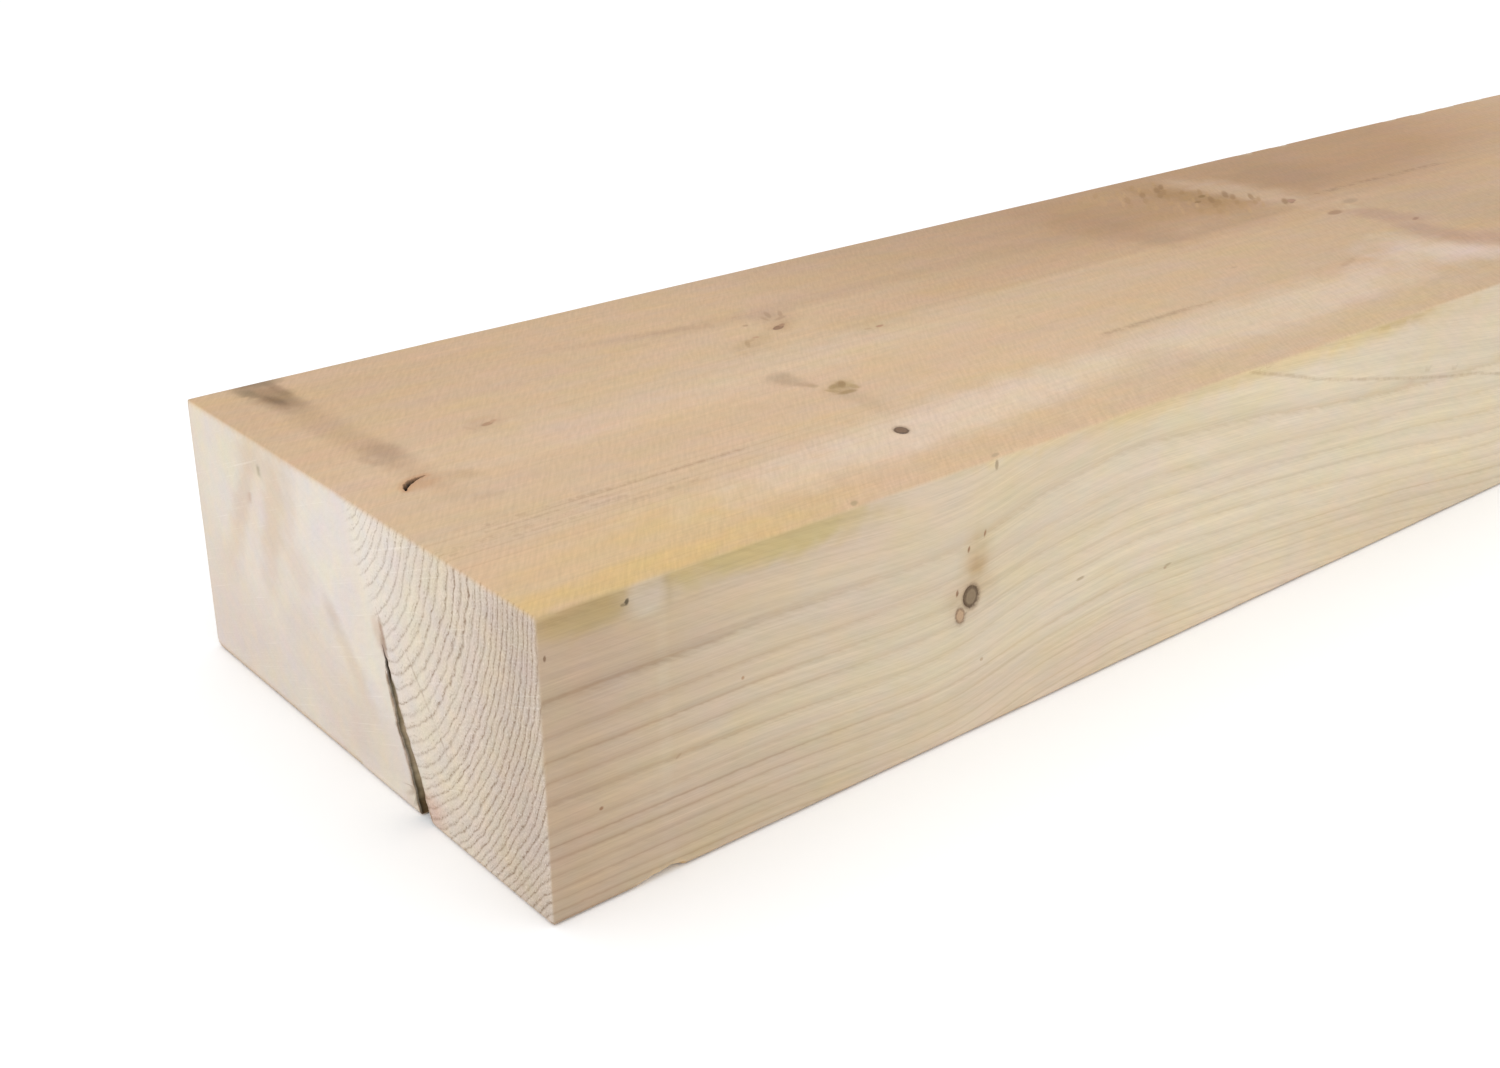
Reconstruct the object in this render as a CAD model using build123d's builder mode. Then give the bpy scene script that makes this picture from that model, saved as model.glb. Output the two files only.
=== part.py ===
from build123d import *
import os

# Sawn softwood plank of heavy section, lying flat on its wide face.
# Frame: X along the grain, Y across the width, Z through the thickness.
# The origin is the centre of the underside.  All lengths in millimetres.

# ---- driving dimensions ---------------------------------------------------
LENGTH = 2400.0        # stock length
WIDTH = 175.0          # wide face
THICK = 75.0           # narrow face

ARRIS_LONG = 1.0       # bevel worn on the four long edges
ARRIS_END = 0.4        # small bevel left by the cross-cut at both ends

# Drying check: an open crack in the -X end that breaks out on the underside
# and closes to a point inside the timber.  Outline on the end face as
# (Y, Z, width along Y), from its upper tip down to the underside.
CHECK_TIP = (-17.4, 41.0)
CHECK_UPPER = (-19.9, 32.5, 2.5)
CHECK_MIDDLE = (-23.9, 21.0, 3.8)
CHECK_LOWER = (-28.6, 11.0, 4.6)
CHECK_FOOT = (-32.4, 0.0, 5.4)
CHECK_DEPTH = 175.0    # how far the crack runs along the grain
CHECK_APEX = (-36.0, -1.0)

# Chip broken out of the lower edge of the -Y face, close to the same end.
CHIP_START = 16.0      # distance from the end where the splinter begins
CHIP_DEEP = 29.0       # deepest point
CHIP_END = 37.0        # where it stops abruptly
CHIP_RISE = 1.9        # height up the narrow face
CHIP_REACH = 8.0       # reach across the underside

x_near = -LENGTH / 2
y_near = -WIDTH / 2
over = 1.0             # how far a cutting solid stands clear of the surface

# ---- drying check as a tapering solid -------------------------------------
def check_outline(depth):
    """Corner points (Y, Z) of the crack's section at a depth from the end."""
    s = 1.0 - depth / (CHECK_DEPTH + over)
    ay, az = CHECK_APEX
    ring = [CHECK_TIP]
    for y, z, w in (CHECK_UPPER, CHECK_MIDDLE, CHECK_LOWER):
        ring.append((y - w / 2, z))
    y, z, w = CHECK_FOOT
    slope = (CHECK_FOOT[0] - CHECK_LOWER[0]) / (CHECK_LOWER[1] - CHECK_FOOT[1])
    drop = 3.0
    ring.append((y + slope * drop - w / 2 - 0.2, z - drop))
    ring.append((y + slope * drop + w / 2 + 0.2, z - drop))
    for y, z, w in (CHECK_LOWER, CHECK_MIDDLE, CHECK_UPPER):
        ring.append((y + w / 2, z))
    return [(ay + (p - ay) * s, az + (q - az) * s) for p, q in ring]


with BuildPart() as check_cutter:
    for depth in (-over, CHECK_DEPTH * 0.96):
        with BuildSketch(Plane.YZ.offset(x_near + depth)):
            with BuildLine():
                Polyline(*check_outline(depth), close=True)
            make_face()
    loft(ruled=True)

# ---- chip as a shallow three-sided pocket ---------------------------------
def chip_outline(reach):
    """Corner points (X, Z) of the chip at a distance in from the -Y face."""
    s = 1.0 - reach / CHIP_REACH
    ax = x_near + CHIP_DEEP + 1.5
    az = -0.2
    low = -1.2
    ring = [
        (x_near + CHIP_START, low),
        (x_near + CHIP_END + 0.4, low),
        (x_near + CHIP_END - 0.6, CHIP_RISE * 0.62),
        (x_near + CHIP_DEEP + 4.5, CHIP_RISE),
        (x_near + CHIP_DEEP, CHIP_RISE * 0.92),
        (x_near + CHIP_START + 6.0, CHIP_RISE * 0.3),
    ]
    return [(ax + (p - ax) * s, az + (q - az) * s) for p, q in ring]


with BuildPart() as chip_cutter:
    for reach in (CHIP_REACH * 0.94, -over):
        with BuildSketch(Plane.XZ.offset(-(y_near + reach))):
            with BuildLine():
                Polyline(*chip_outline(reach), close=True)
            make_face()
    loft(ruled=True)

# ---- the plank ------------------------------------------------------------
with BuildPart() as plank:
    with BuildSketch(Plane.YZ.offset(x_near)):
        with Locations((0, THICK / 2)):
            section = Rectangle(WIDTH, THICK)
        chamfer(section.vertices(), length=ARRIS_LONG)
    extrude(amount=LENGTH)
    end_edges = (
        plank.edges().group_by(Axis.X)[0] + plank.edges().group_by(Axis.X)[-1]
    )
    chamfer(end_edges, length=ARRIS_END)
    add(check_cutter.part, mode=Mode.SUBTRACT)
    add(chip_cutter.part, mode=Mode.SUBTRACT)

plank.part.label = "plank"

os.makedirs("parts", exist_ok=True)
export_step(plank.part, "parts/plank.step")

box = plank.part.bounding_box()
print("plank", len(plank.part.solids()), "solid, volume mm3",
      round(plank.part.volume, 1))
print("box", [round(v, 3) for v in (box.min.X, box.min.Y, box.min.Z,
                                    box.max.X, box.max.Y, box.max.Z)])
print("crack volume mm3", round(check_cutter.part.volume, 1),
      "chip volume mm3", round(chip_cutter.part.volume, 1))
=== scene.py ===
import math

import bpy
import numpy as np
from mathutils import Matrix, Vector
from mathutils.geometry import delaunay_2d_cdt


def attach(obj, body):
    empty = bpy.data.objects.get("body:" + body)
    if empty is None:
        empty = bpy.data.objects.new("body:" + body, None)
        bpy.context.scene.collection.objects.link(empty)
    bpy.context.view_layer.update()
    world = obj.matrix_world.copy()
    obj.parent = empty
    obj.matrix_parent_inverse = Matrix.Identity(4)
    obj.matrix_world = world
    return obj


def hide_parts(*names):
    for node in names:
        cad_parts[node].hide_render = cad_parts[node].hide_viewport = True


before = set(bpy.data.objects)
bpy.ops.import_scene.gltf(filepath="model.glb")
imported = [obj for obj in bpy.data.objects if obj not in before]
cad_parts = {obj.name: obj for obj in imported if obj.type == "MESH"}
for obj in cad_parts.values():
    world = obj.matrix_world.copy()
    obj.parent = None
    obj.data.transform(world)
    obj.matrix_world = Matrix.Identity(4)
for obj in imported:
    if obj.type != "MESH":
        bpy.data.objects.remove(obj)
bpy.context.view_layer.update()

# Sawn softwood plank.  Everything is made in millimetres in a local frame:
# x from the cracked end, y from the near narrow face, z up from the underside.
# The last step turns that into metres in the frame of the CAD model.
LX, LY, LZ = 2400.0, 175.0, 75.0
ROUND_X = 0.45          # how far the worn arris reaches along the grain
NX, PX, NY, PY, NZ, PZ, WALL_L, WALL_R, CHIP = range(9)


# ---------------------------------------------------------------------------
# small numeric helpers
# ---------------------------------------------------------------------------
def lin(rgb):
    """8-bit display colour to linear light."""
    c = np.asarray(rgb, float) / 255.0
    return np.where(c <= 0.04045, c / 12.92, ((c + 0.055) / 1.055) ** 2.4)


def step(a, b, t):
    u = np.clip((t - a) / (b - a), 0.0, 1.0)
    return u * u * (3.0 - 2.0 * u)


def lattice(i, j, k, seed):
    with np.errstate(over="ignore"):
        h = (i * np.uint64(374761393) + j * np.uint64(668265263)
             + k * np.uint64(1442695041) + np.uint64(seed * 1013904223 + 7))
        h &= np.uint64(0xFFFFFFFF)
        h = ((h ^ (h >> np.uint64(15))) * np.uint64(2246822519)) & np.uint64(0xFFFFFFFF)
        h = ((h ^ (h >> np.uint64(13))) * np.uint64(3266489917)) & np.uint64(0xFFFFFFFF)
        h = h ^ (h >> np.uint64(16))
    return (h & np.uint64(0xFFFFFF)).astype(float) / 8388607.5 - 1.0


def noise(x, y=0.0, z=0.0, seed=0):
    """Smooth value noise, about -1 to 1."""
    x, y, z = np.broadcast_arrays(*(np.asarray(v, float) + 4096.0 for v in (x, y, z)))
    i, j, k = np.floor(x), np.floor(y), np.floor(z)
    fx, fy, fz = x - i, y - j, z - k
    fx, fy, fz = (f * f * (3 - 2 * f) for f in (fx, fy, fz))
    i, j, k = (v.astype(np.uint64) for v in (i, j, k))
    one = np.uint64(1)
    out = 0.0
    for di, wx in ((np.uint64(0), 1 - fx), (one, fx)):
        for dj, wy in ((np.uint64(0), 1 - fy), (one, fy)):
            for dk, wz in ((np.uint64(0), 1 - fz), (one, fz)):
                out = out + lattice(i + di, j + dj, k + dk, seed) * wx * wy * wz
    return out


def smooth_curve(points, width, lo, hi, pitch=2.0):
    """A gently rounded line through a few given points, as a function."""
    grid = np.arange(lo - 4 * width, hi + 4 * width, pitch)
    v = np.interp(grid, [p[0] for p in points], [p[1] for p in points])
    k = np.exp(-0.5 * (np.arange(-3 * width, 3 * width + pitch, pitch) / width) ** 2)
    k /= k.sum()
    pad = len(k) // 2
    v = np.convolve(np.pad(v, pad, mode="edge"), k, mode="valid")[: len(grid)]
    return lambda t: np.interp(t, grid, v)


# ---------------------------------------------------------------------------
# growth rings: a field in the whole timber, cut by every face
# ---------------------------------------------------------------------------
PITH = (94.0, 81.0)     # just above the top face
RING_SHAPE = {          # how far the rings depart from circles about the pith
    (0, 1): 1.3579, (0, 2): -0.8618, (0, 3): 0.0541, (0, 4): 0.1221,
    (0, 5): -0.1393, (1, 0): 1.0597, (1, 1): 2.0107, (1, 2): -0.2031,
    (1, 3): -0.7957, (1, 4): -0.5875, (2, 0): 0.4902, (2, 1): -2.0758,
    (2, 2): -0.938, (2, 3): -1.4453, (3, 0): -2.9669, (3, 1): -2.5086,
    (3, 2): -0.743, (4, 0): 0.5028, (4, 1): 2.1289, (5, 0): 2.4333,
}


def ring_section(y, z):
    r = np.hypot(y - PITH[0], z - PITH[1])
    n = 0.20 * r + 0.0014 * r * r - 0.1638
    yc = np.where(y < 78, y, 78 + 6 * (1 - np.exp(-(np.maximum(y, 78) - 78) / 6)))
    yc = np.maximum(yc, -1.0)
    a, b = (yc - 45) / 45, (np.clip(z, -1, 76) - 37) / 37
    for (i, j), c in RING_SHAPE.items():
        n = n + c * a**i * b**j
    return n


_z = np.arange(0.0, 75.01, 0.25)
_n = ring_section(0 * _z, _z)


def ring_side(z):
    """Ring number down the near narrow face, carried on past both arrises."""
    inside = np.interp(z, _z, _n)
    above = _n[-1] + (z - 75.0) * (_n[-1] - _n[-25]) / 6.0
    below = _n[0] + z * (_n[24] - _n[0]) / 6.0
    return np.where(z > 75, above, np.where(z < 0, below, inside))


side_fit = smooth_curve(
    [(-5, -1.0), (9, -1.1), (16, -1.1), (23, 0.6), (30, -1.0), (36, -1.0),
     (40.5, 0.7), (46.7, 2.1), (55.5, 2.8), (66, 2.8), (80, 2.4)], 1.5, -10, 85, 0.25)
side_drift = smooth_curve(
    [(-50, 0), (0, 0), (60, -1), (108, -4.6), (126, -4.2), (150, 1), (190, 4.5),
     (250, 1), (320, -6), (370, -13), (450, -20), (560, -25), (700, -20), (850, -9),
     (1000, -3), (1150, -9), (1300, -18), (1450, -22), (1600, -14), (1750, -3),
     (1900, 3), (2050, -3), (2200, -12), (2400, -15), (2500, -15)], 7, -60, 2500)

CRACK_AT = (69.5, 37.5, 0.37)   # y and z of the upper end, lean towards the near face


def crack_line(z):
    return CRACK_AT[0] - (CRACK_AT[1] - z) * CRACK_AT[2]


# knots and specks: face, place along and across, half sizes, turn in degrees,
# colour of the middle, strength, strength of the dark rim, how far the grain
# swings round them
KNOTS = [
    (NY, 127.4, 39.4, 2.55, 2.95, 10, (112, 100, 80), 0.97, 1.00, 1.0),
    (NY, 123.7, 35.2, 1.6, 2.3, 12, (172, 142, 112), 0.85, 0.50, 0.3),
    (NY, 126.0, 52.8, 0.40, 0.85, -12, (132, 98, 68), 0.80, 0.0, 0.0),
    (NY, 131.6, 55.6, 0.36, 0.95, -14, (138, 104, 74), 0.80, 0.0, 0.0),
    (NY, 122.3, 41.8, 0.40, 0.9, -10, (128, 92, 64), 0.8, 0.0, 0.0),
    (NY, 22.6, 71.3, 0.55, 0.8, -20, (84, 72, 52), 0.95, 0.0, 0.0),
    (NY, 21.6, 70.9, 0.7, 0.35, -10, (120, 104, 76), 0.75, 0.0, 0.0),
    (NY, 1.6, 65.0, 0.35, 0.7, 0, (110, 84, 60), 0.80, 0.0, 0.0),
    (NY, 13.8, 24.3, 0.55, 0.45, 0, (132, 98, 70), 0.85, 0.0, 0.0),
    (NY, 53.7, 42.3, 0.45, 0.45, 0, (152, 118, 88), 0.75, 0.0, 0.0),
    (NY, 134.9, 73.1, 0.6, 1.3, 0, (140, 122, 96), 0.70, 0.0, 0.0),
    (NY, 169.0, 31.6, 1.5, 0.45, 4, (152, 134, 104), 0.65, 0.0, 0.0),
    (NY, 205.0, 23.8, 0.7, 0.4, 0, (160, 134, 108), 0.65, 0.0, 0.0),
    (NY, 132.0, 20.2, 0.6, 0.5, 0, (160, 134, 106), 0.6, 0.0, 0.0),
    (NY, 206.0, 24.4, 1.6, 0.4, 3, (156, 138, 108), 0.6, 0.0, 0.0),
    (NY, 35.0, 29.2, 0.9, 0.35, 30, (150, 126, 98), 0.5, 0.0, 0.0),
    (PZ, 130.5, 29.6, 1.9, 2.6, -28, (92, 66, 46), 0.92, 0.55, 0.8),
    (PZ, 129.6, 28.2, 0.8, 1.0, 0, (60, 40, 28), 0.90, 0.0, 0.0),
    (PZ, 142.6, 66.0, 1.1, 2.9, -38, (140, 112, 72), 0.70, 0.0, 0.8),
    (PZ, 139.4, 66.2, 2.2, 1.0, 30, (150, 124, 80), 0.62, 0.0, 0.0),
    (PZ, 144.2, 62.6, 1.2, 2.0, -12, (156, 130, 86), 0.58, 0.0, 0.0),
    (PZ, 139.6, 60.4, 3.2, 1.2, -4, (142, 116, 72), 0.65, 0.0, 0.0),
    (PZ, 136.9, 63.6, 1.0, 2.2, 24, (158, 132, 90), 0.58, 0.0, 0.0),
    (PZ, 52.1, 103.6, 1.9, 1.0, 18, (156, 120, 90), 0.75, 0.05, 0.7),
    (PZ, 54.4, 104.6, 1.4, 0.7, 25, (172, 136, 106), 0.65, 0.0, 0.0),
    (PZ, 46.8, 103.5, 0.7, 2.2, 20, (180, 150, 122), 0.50, 0.0, 0.0),
    (PZ, 50.6, 107.4, 2.4, 0.6, 30, (184, 152, 122), 0.45, 0.0, 0.0),
    (PZ, 162.9, 117.4, 2.5, 1.3, 24, (128, 94, 68), 0.85, 0.15, 0.7),
    (PZ, 165.2, 118.6, 1.8, 0.8, 34, (146, 110, 82), 0.75, 0.0, 0.0),
    (PZ, 168.6, 129.4, 0.8, 3.4, -24, (152, 124, 96), 0.58, 0.0, 0.0),
    (PZ, 172.2, 127.6, 0.7, 3.2, -34, (154, 124, 96), 0.55, 0.0, 0.0),
    (PZ, 169.6, 124.4, 2.8, 0.9, 20, (156, 126, 98), 0.50, 0.0, 0.0),
    (PZ, 165.4, 127.0, 0.8, 2.4, -10, (162, 132, 102), 0.50, 0.0, 0.0),
    (PZ, 159.4, 134.4, 1.2, 0.5, 30, (170, 140, 110), 0.45, 0.0, 0.0),
    (PZ, 156.5, 125.4, 1.1, 0.8, 20, (150, 120, 92), 0.55, 0.0, 0.0),
    (PZ, 146.0, 111.4, 0.8, 2.9, -35, (156, 128, 92), 0.55, 0.0, 0.2),
    (PZ, 148.6, 113.0, 2.2, 0.8, 20, (166, 136, 102), 0.45, 0.0, 0.0),
    (PZ, 151.6, 114.4, 1.2, 0.8, 0, (164, 122, 94), 0.55, 0.0, 0.0),
    (PZ, 144.4, 108.6, 1.4, 0.4, 34, (168, 138, 102), 0.45, 0.0, 0.0),
    (PZ, 187.0, 98.4, 1.5, 0.75, 12, (156, 112, 86), 0.70, 0.0, 0.3),
    (PZ, 182.5, 98.6, 1.4, 0.7, -6, (172, 140, 110), 0.50, 0.0, 0.0),
    (PZ, 135.7, 70.2, 1.3, 1.6, 20, (168, 142, 110), 0.55, 0.0, 0.2),
    (PZ, 225.0, 77.0, 1.8, 0.8, 20, (178, 150, 120), 0.45, 0.0, 0.0),
    (PZ, 89.0, 1.9, 1.6, 0.8, 40, (150, 134, 100), 0.60, 0.0, 0.0),
    (PZ, 136.0, 1.7, 1.6, 0.7, 20, (156, 138, 110), 0.60, 0.0, 0.0),
    (PZ, 320.0, 68.0, 1.6, 0.7, 0, (172, 144, 116), 0.50, 0.0, 0.0),
    (PZ, 331.0, 108.0, 3.6, 2.2, 10, (166, 138, 110), 0.34, 0.0, 0.6),
    (PZ, 326.0, 104.0, 2.6, 1.0, 20, (172, 142, 112), 0.34, 0.0, 0.0),
    (PZ, 354.0, 108.5, 3.0, 0.8, 0, (168, 140, 110), 0.40, 0.0, 0.0),
    (PZ, 393.4, 138.2, 2.6, 1.2, 22, (126, 96, 52), 0.80, 0.0, 0.4),
    (PZ, 384.6, 133.4, 2.2, 1.1, 20, (132, 100, 58), 0.80, 0.0, 0.2),
    (PZ, 412.5, 111.5, 2.9, 1.6, 14, (152, 112, 90), 0.75, 0.10, 0.8),
    (PZ, 410.4, 109.4, 1.6, 0.7, 14, (118, 84, 62), 0.70, 0.0, 0.0),
    (PZ, 409.0, 89.6, 4.0, 1.9, 8, (146, 112, 82), 0.70, 0.05, 0.6),
    (PZ, 408.0, 89.4, 2.2, 0.9, 8, (120, 88, 62), 0.70, 0.0, 0.0),
    (PZ, 429.0, 96.4, 4.6, 2.2, 12, (156, 132, 106), 0.60, 0.0, 0.5),
    (PZ, 423.0, 65.0, 2.6, 0.9, 18, (140, 104, 80), 0.70, 0.0, 0.3),
    # the length that the photograph doesn't show: a whorl of small knots every
    # 0.4 m or so, on all four faces
    (PZ, 812.0, 118.0, 7.0, 4.6, 6, (146, 104, 68), 0.80, 0.55, 1.0),
    (PZ, 826.0, 60.0, 5.0, 3.6, -8, (156, 112, 76), 0.78, 0.45, 0.9),
    (NY, 838.0, 46.0, 4.6, 4.2, 0, (140, 104, 72), 0.85, 0.70, 1.0),
    (PY, 806.0, 30.0, 5.2, 4.6, 0, (150, 108, 74), 0.82, 0.60, 1.0),
    (NZ, 818.0, 78.0, 5.6, 5.0, 0, (142, 102, 70), 0.85, 0.65, 1.0),
    (PZ, 1232.0, 84.0, 8.5, 4.0, 4, (150, 106, 70), 0.80, 0.50, 1.0),
    (PZ, 1246.0, 140.0, 3.4, 2.8, 0, (110, 78, 52), 0.85, 0.80, 0.8),
    (NY, 1224.0, 27.0, 3.4, 3.2, 0, (120, 96, 72), 0.90, 0.90, 1.0),
    (PY, 1240.0, 49.0, 4.4, 4.0, 0, (146, 106, 74), 0.84, 0.60, 1.0),
    (NZ, 1236.0, 112.0, 4.8, 4.4, 0, (146, 104, 70), 0.84, 0.60, 1.0),
    (NZ, 1222.0, 40.0, 3.0, 2.8, 0, (112, 82, 56), 0.85, 0.80, 0.8),
    (PZ, 1655.0, 109.0, 6.0, 3.8, -6, (148, 104, 70), 0.80, 0.55, 1.0),
    (PZ, 1640.0, 36.0, 3.6, 3.0, 0, (124, 88, 60), 0.85, 0.70, 0.9),
    (NY, 1662.0, 55.0, 5.4, 4.8, 0, (148, 108, 74), 0.84, 0.65, 1.0),
    (PY, 1648.0, 22.0, 3.4, 3.2, 0, (122, 92, 64), 0.88, 0.80, 0.9),
    (NZ, 1658.0, 92.0, 6.4, 5.6, 0, (142, 102, 70), 0.84, 0.60, 1.0),
    (PZ, 2072.0, 72.0, 7.2, 4.4, 5, (148, 106, 72), 0.80, 0.50, 1.0),
    (PZ, 2060.0, 131.0, 4.0, 3.2, 0, (126, 90, 62), 0.85, 0.70, 0.9),
    (NY, 2078.0, 36.0, 4.2, 3.8, 0, (136, 102, 72), 0.86, 0.70, 1.0),
    (PY, 2066.0, 44.0, 5.0, 4.4, 0, (146, 106, 74), 0.84, 0.60, 1.0),
    (NZ, 2080.0, 60.0, 4.6, 4.2, 0, (144, 104, 72), 0.84, 0.65, 1.0),
]


def flecks():
    """Short slanting strokes in the ochre patch of the wide face."""
    out = []
    for i in range(1, 96):
        p, q, r = (i * 0.7548777) % 1.0, (i * 0.5698403) % 1.0, (i * 0.3819660) % 1.0
        k = 0.5 + 0.5 * float(noise(i * 3.7, 0.5, 0.5, 17))
        a, b = 342 + 74 * p, 112 + 54 * q
        left, right = 347 + (164 - b) * 0.56, 394.5 + (168 - b) * 0.33
        if not left + 2 < a < right - 1.5:
            continue
        t = (a - left) / (right - left)
        dark = min(1.0, max(0.0, 0.70 * t + 0.9 * (r - 0.35)))
        colour = tuple(int(u + (v - u) * dark) for u, v in zip((194, 158, 108), (122, 88, 46)))
        out.append((PZ, a, b, 2.8 + 4.0 * k, 0.6 + 0.6 * r, 32 + 16 * k, colour,
                    0.16 + 0.30 * t + 0.16 * dark, 0.0, 0.0))
    return out


KNOTS += flecks()

# thin lines of darker wood: face, points, half width, strength, how broken
VEINS = [
    (NY, [(228, 77.2), (241.5, 72.9), (256, 69.0), (271, 64.4), (291, 59.8), (310, 55.8),
          (328, 52.0), (344, 48.8), (360, 46.2), (380, 41.5), (405, 36.5), (440, 29.0)],
     0.55, 0.30, 0.40),
    (PZ, [(232, 48.6), (244, 48.2), (262, 48.6), (286, 48.2)], 1.0, 0.22, 0.95),
    (PZ, [(16, 46.9), (40, 46.6), (66, 46.0), (92, 45.8)], 0.9, 0.24, 0.7),
    (PZ, [(2, 40.9), (30, 40.7), (52, 40.5)], 0.7, 0.20, 0.7),
    (PZ, [(2, 37.6), (34, 37.4), (70, 37.2)], 0.7, 0.20, 0.7),
    (PZ, [(349, 45.6), (358, 48.0)], 1.2, 0.22, 0.2),
    (PZ, [(430, 111.0), (452, 111.8), (480, 110.6), (512, 110.0)], 1.5, 0.34, 0.8),
    (NX, [(58.0, 43.0), (50.5, 33.6), (42.2, 23.4)], 0.42, 0.42, 0.7),
    (NX, [(70.6, 47.5), (69.4, 44.0), (68.6, 41.0)], 0.8, 0.45, 0.0),
    (NX, [(69.2, 33.0), (65.7, 21.0), (61.4, 11.0), (58.1, 0.8)], 0.75, 0.85, 0.3),
    (NX, [(66.2, 33.0), (61.5, 21.0), (56.4, 11.0), (52.2, 0.8)], 0.35, 0.55, 0.4),
]


def vein_distance(face, a, b):
    """Distance to the nearest thin line in its own half widths, with a sign for
    its two sides, its strength and how broken it is."""
    best = np.full(a.shape, 9.0)
    power = np.zeros(a.shape)
    gaps = np.zeros(a.shape)
    for f, path, half, strength, broken in VEINS:
        if f != face:
            continue
        for (a0, b0), (a1, b1) in zip(path[:-1], path[1:]):
            da, db = a1 - a0, b1 - b0
            t = np.clip(((a - a0) * da + (b - b0) * db) / (da * da + db * db), 0, 1)
            d = np.hypot(a - a0 - t * da, b - b0 - t * db) / half
            side = np.where((a - a0) * db - (b - b0) * da < 0, -1.0, 1.0)
            m = d < np.abs(best)
            best, power, gaps = (np.where(m, v, o) for v, o in
                                 ((d * side, best), (strength, power), (broken, gaps)))
    power = power * (np.abs(best) < 3.2)
    return np.clip(best, -4, 4), power, gaps


def knot_frame(k, a, b):
    """Place on the face in the knot's own half sizes."""
    _, ca, cb, ra, rb, turn = k[:6]
    t = math.radians(turn)
    u, v = a - ca, b - cb
    return ((u * math.cos(t) + v * math.sin(t)) / ra,
            (-u * math.sin(t) + v * math.cos(t)) / rb)


def ring_number(x, y, z):
    """Growth-ring number anywhere; the dark latewood lines are at n + 1/2."""
    yq, zq = y.copy(), z.copy()
    for k in KNOTS:
        if not k[9]:
            continue
        face = k[0]
        if face in (NY, PY):
            near = y if face == NY else LY - y
            along, other = zq, z
        else:
            near = LZ - z if face == PZ else z
            along, other = yq, y
        m = (np.abs(x - k[1]) < k[3] * 9) & (near < 9) & (np.abs(other - k[2]) < k[4] * 9)
        if not m.any():
            continue
        d2 = ((x[m] - k[1]) / (2.3 * k[3])) ** 2 + ((other[m] - k[2]) / (1.7 * k[4])) ** 2
        pull = 0.72 * k[9] * np.exp(-d2) * step(9, 2, near[m])
        along[m] = along[m] + (k[2] - other[m]) * pull
    n = ring_section(yq, zq)
    near_side = np.exp(-((y / 26.0) ** 2))
    fit = side_fit(zq) * np.exp(-((y / 6.0) ** 2))
    n = n + (ring_side(zq + fit - side_drift(x)) - ring_side(zq)) * near_side
    # slow wander of the whole stem, none at the photographed end
    w = step(0, 260, x)
    n = n + w * (0.8 * noise(x / 420, 0.3, 0.7, 11) * np.hypot(y - 94, z - 81) / 90
                 + 0.35 * noise(x / 150, y / 45, z / 45, 12)
                 + 0.10 * noise(x / 42, y / 11, z / 11, 13))
    # wide and narrow years
    n = n + step(2, 12, y) * (0.20 * noise(n / 1.3, 0.5, 0.5, 16) + 0.10 * noise(n / 0.55, y / 30, z / 30, 17))
    # small unevenness of the rings, kept where the mesh is fine enough for it
    u = np.exp(-x / 26.0) + 0.8 * np.exp(-(LX - x) / 26.0)
    n = n + u * (0.15 * noise(y / 4.6, z / 4.6, x / 70, 14)
                 + 0.12 * noise(y / 1.9, z / 1.9, x / 40, 15))
    # close to the open crack the rings flare flatter on its near side
    d = crack_line(z) - y
    flare = np.where(d > -0.5, np.exp(-np.maximum(d, 0) / 5.0), 0.0)
    flare = flare * step(44, 36, z) * step(160, 20, x)
    n = n + (ring_section(y, z - 3.0 * flare) - ring_section(y, z)) * (flare > 0.01)
    return n


# ---------------------------------------------------------------------------
# mesh: a graded triangulation of the six faces of the sharp block
# ---------------------------------------------------------------------------
def graded(stops):
    out, start = [0.0], 0.0
    for end, pitch in stops:
        n = max(1, round((end - start) / pitch))
        out += list(start + (end - start) * np.arange(1, n + 1) / n)
        start = end
    return np.array(out)


XS = graded([(0.45, 0.225), (0.95, 0.5), (60.5, 1.6), (200, 2.7), (450, 4.4),
             (2399, 12.0), (2399.55, 0.55), (2400, 0.225)])
ROWS = (0.35, 0.8, 1.5)
YS_NEAR = graded([(88, 0.9), (175, 1.8)])
ZS_NEAR = graded([(75, 0.9)])
ZS_FAR_SIDE = graded([(75, 1.8)])
YS_END = graded([(175, 2.6)])
ZS_END = graded([(75, 2.6)])


def jitter(a, b, amount, seed):
    return np.stack([a + amount * noise(a * 1.7, b * 1.9, 0.5, seed),
                     b + amount * noise(a * 1.9, b * 1.7, 9.5, seed)], -1)


def lattice_points(a0, a1, pa, b0, b1, pb):
    na, nb = max(2, round((a1 - a0) / pa)), max(2, round((b1 - b0) / pb))
    a = a0 + (np.arange(na) + 0.5) * (a1 - a0) / na
    b = b0 + (np.arange(nb) + 0.5) * (b1 - b0) / nb
    A, B = np.meshgrid(a, b, indexing="ij")
    B = B + np.where(np.arange(na) % 2, 0.25, -0.25)[:, None] * (b1 - b0) / nb
    return np.stack([A.ravel(), B.ravel()], -1)


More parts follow.
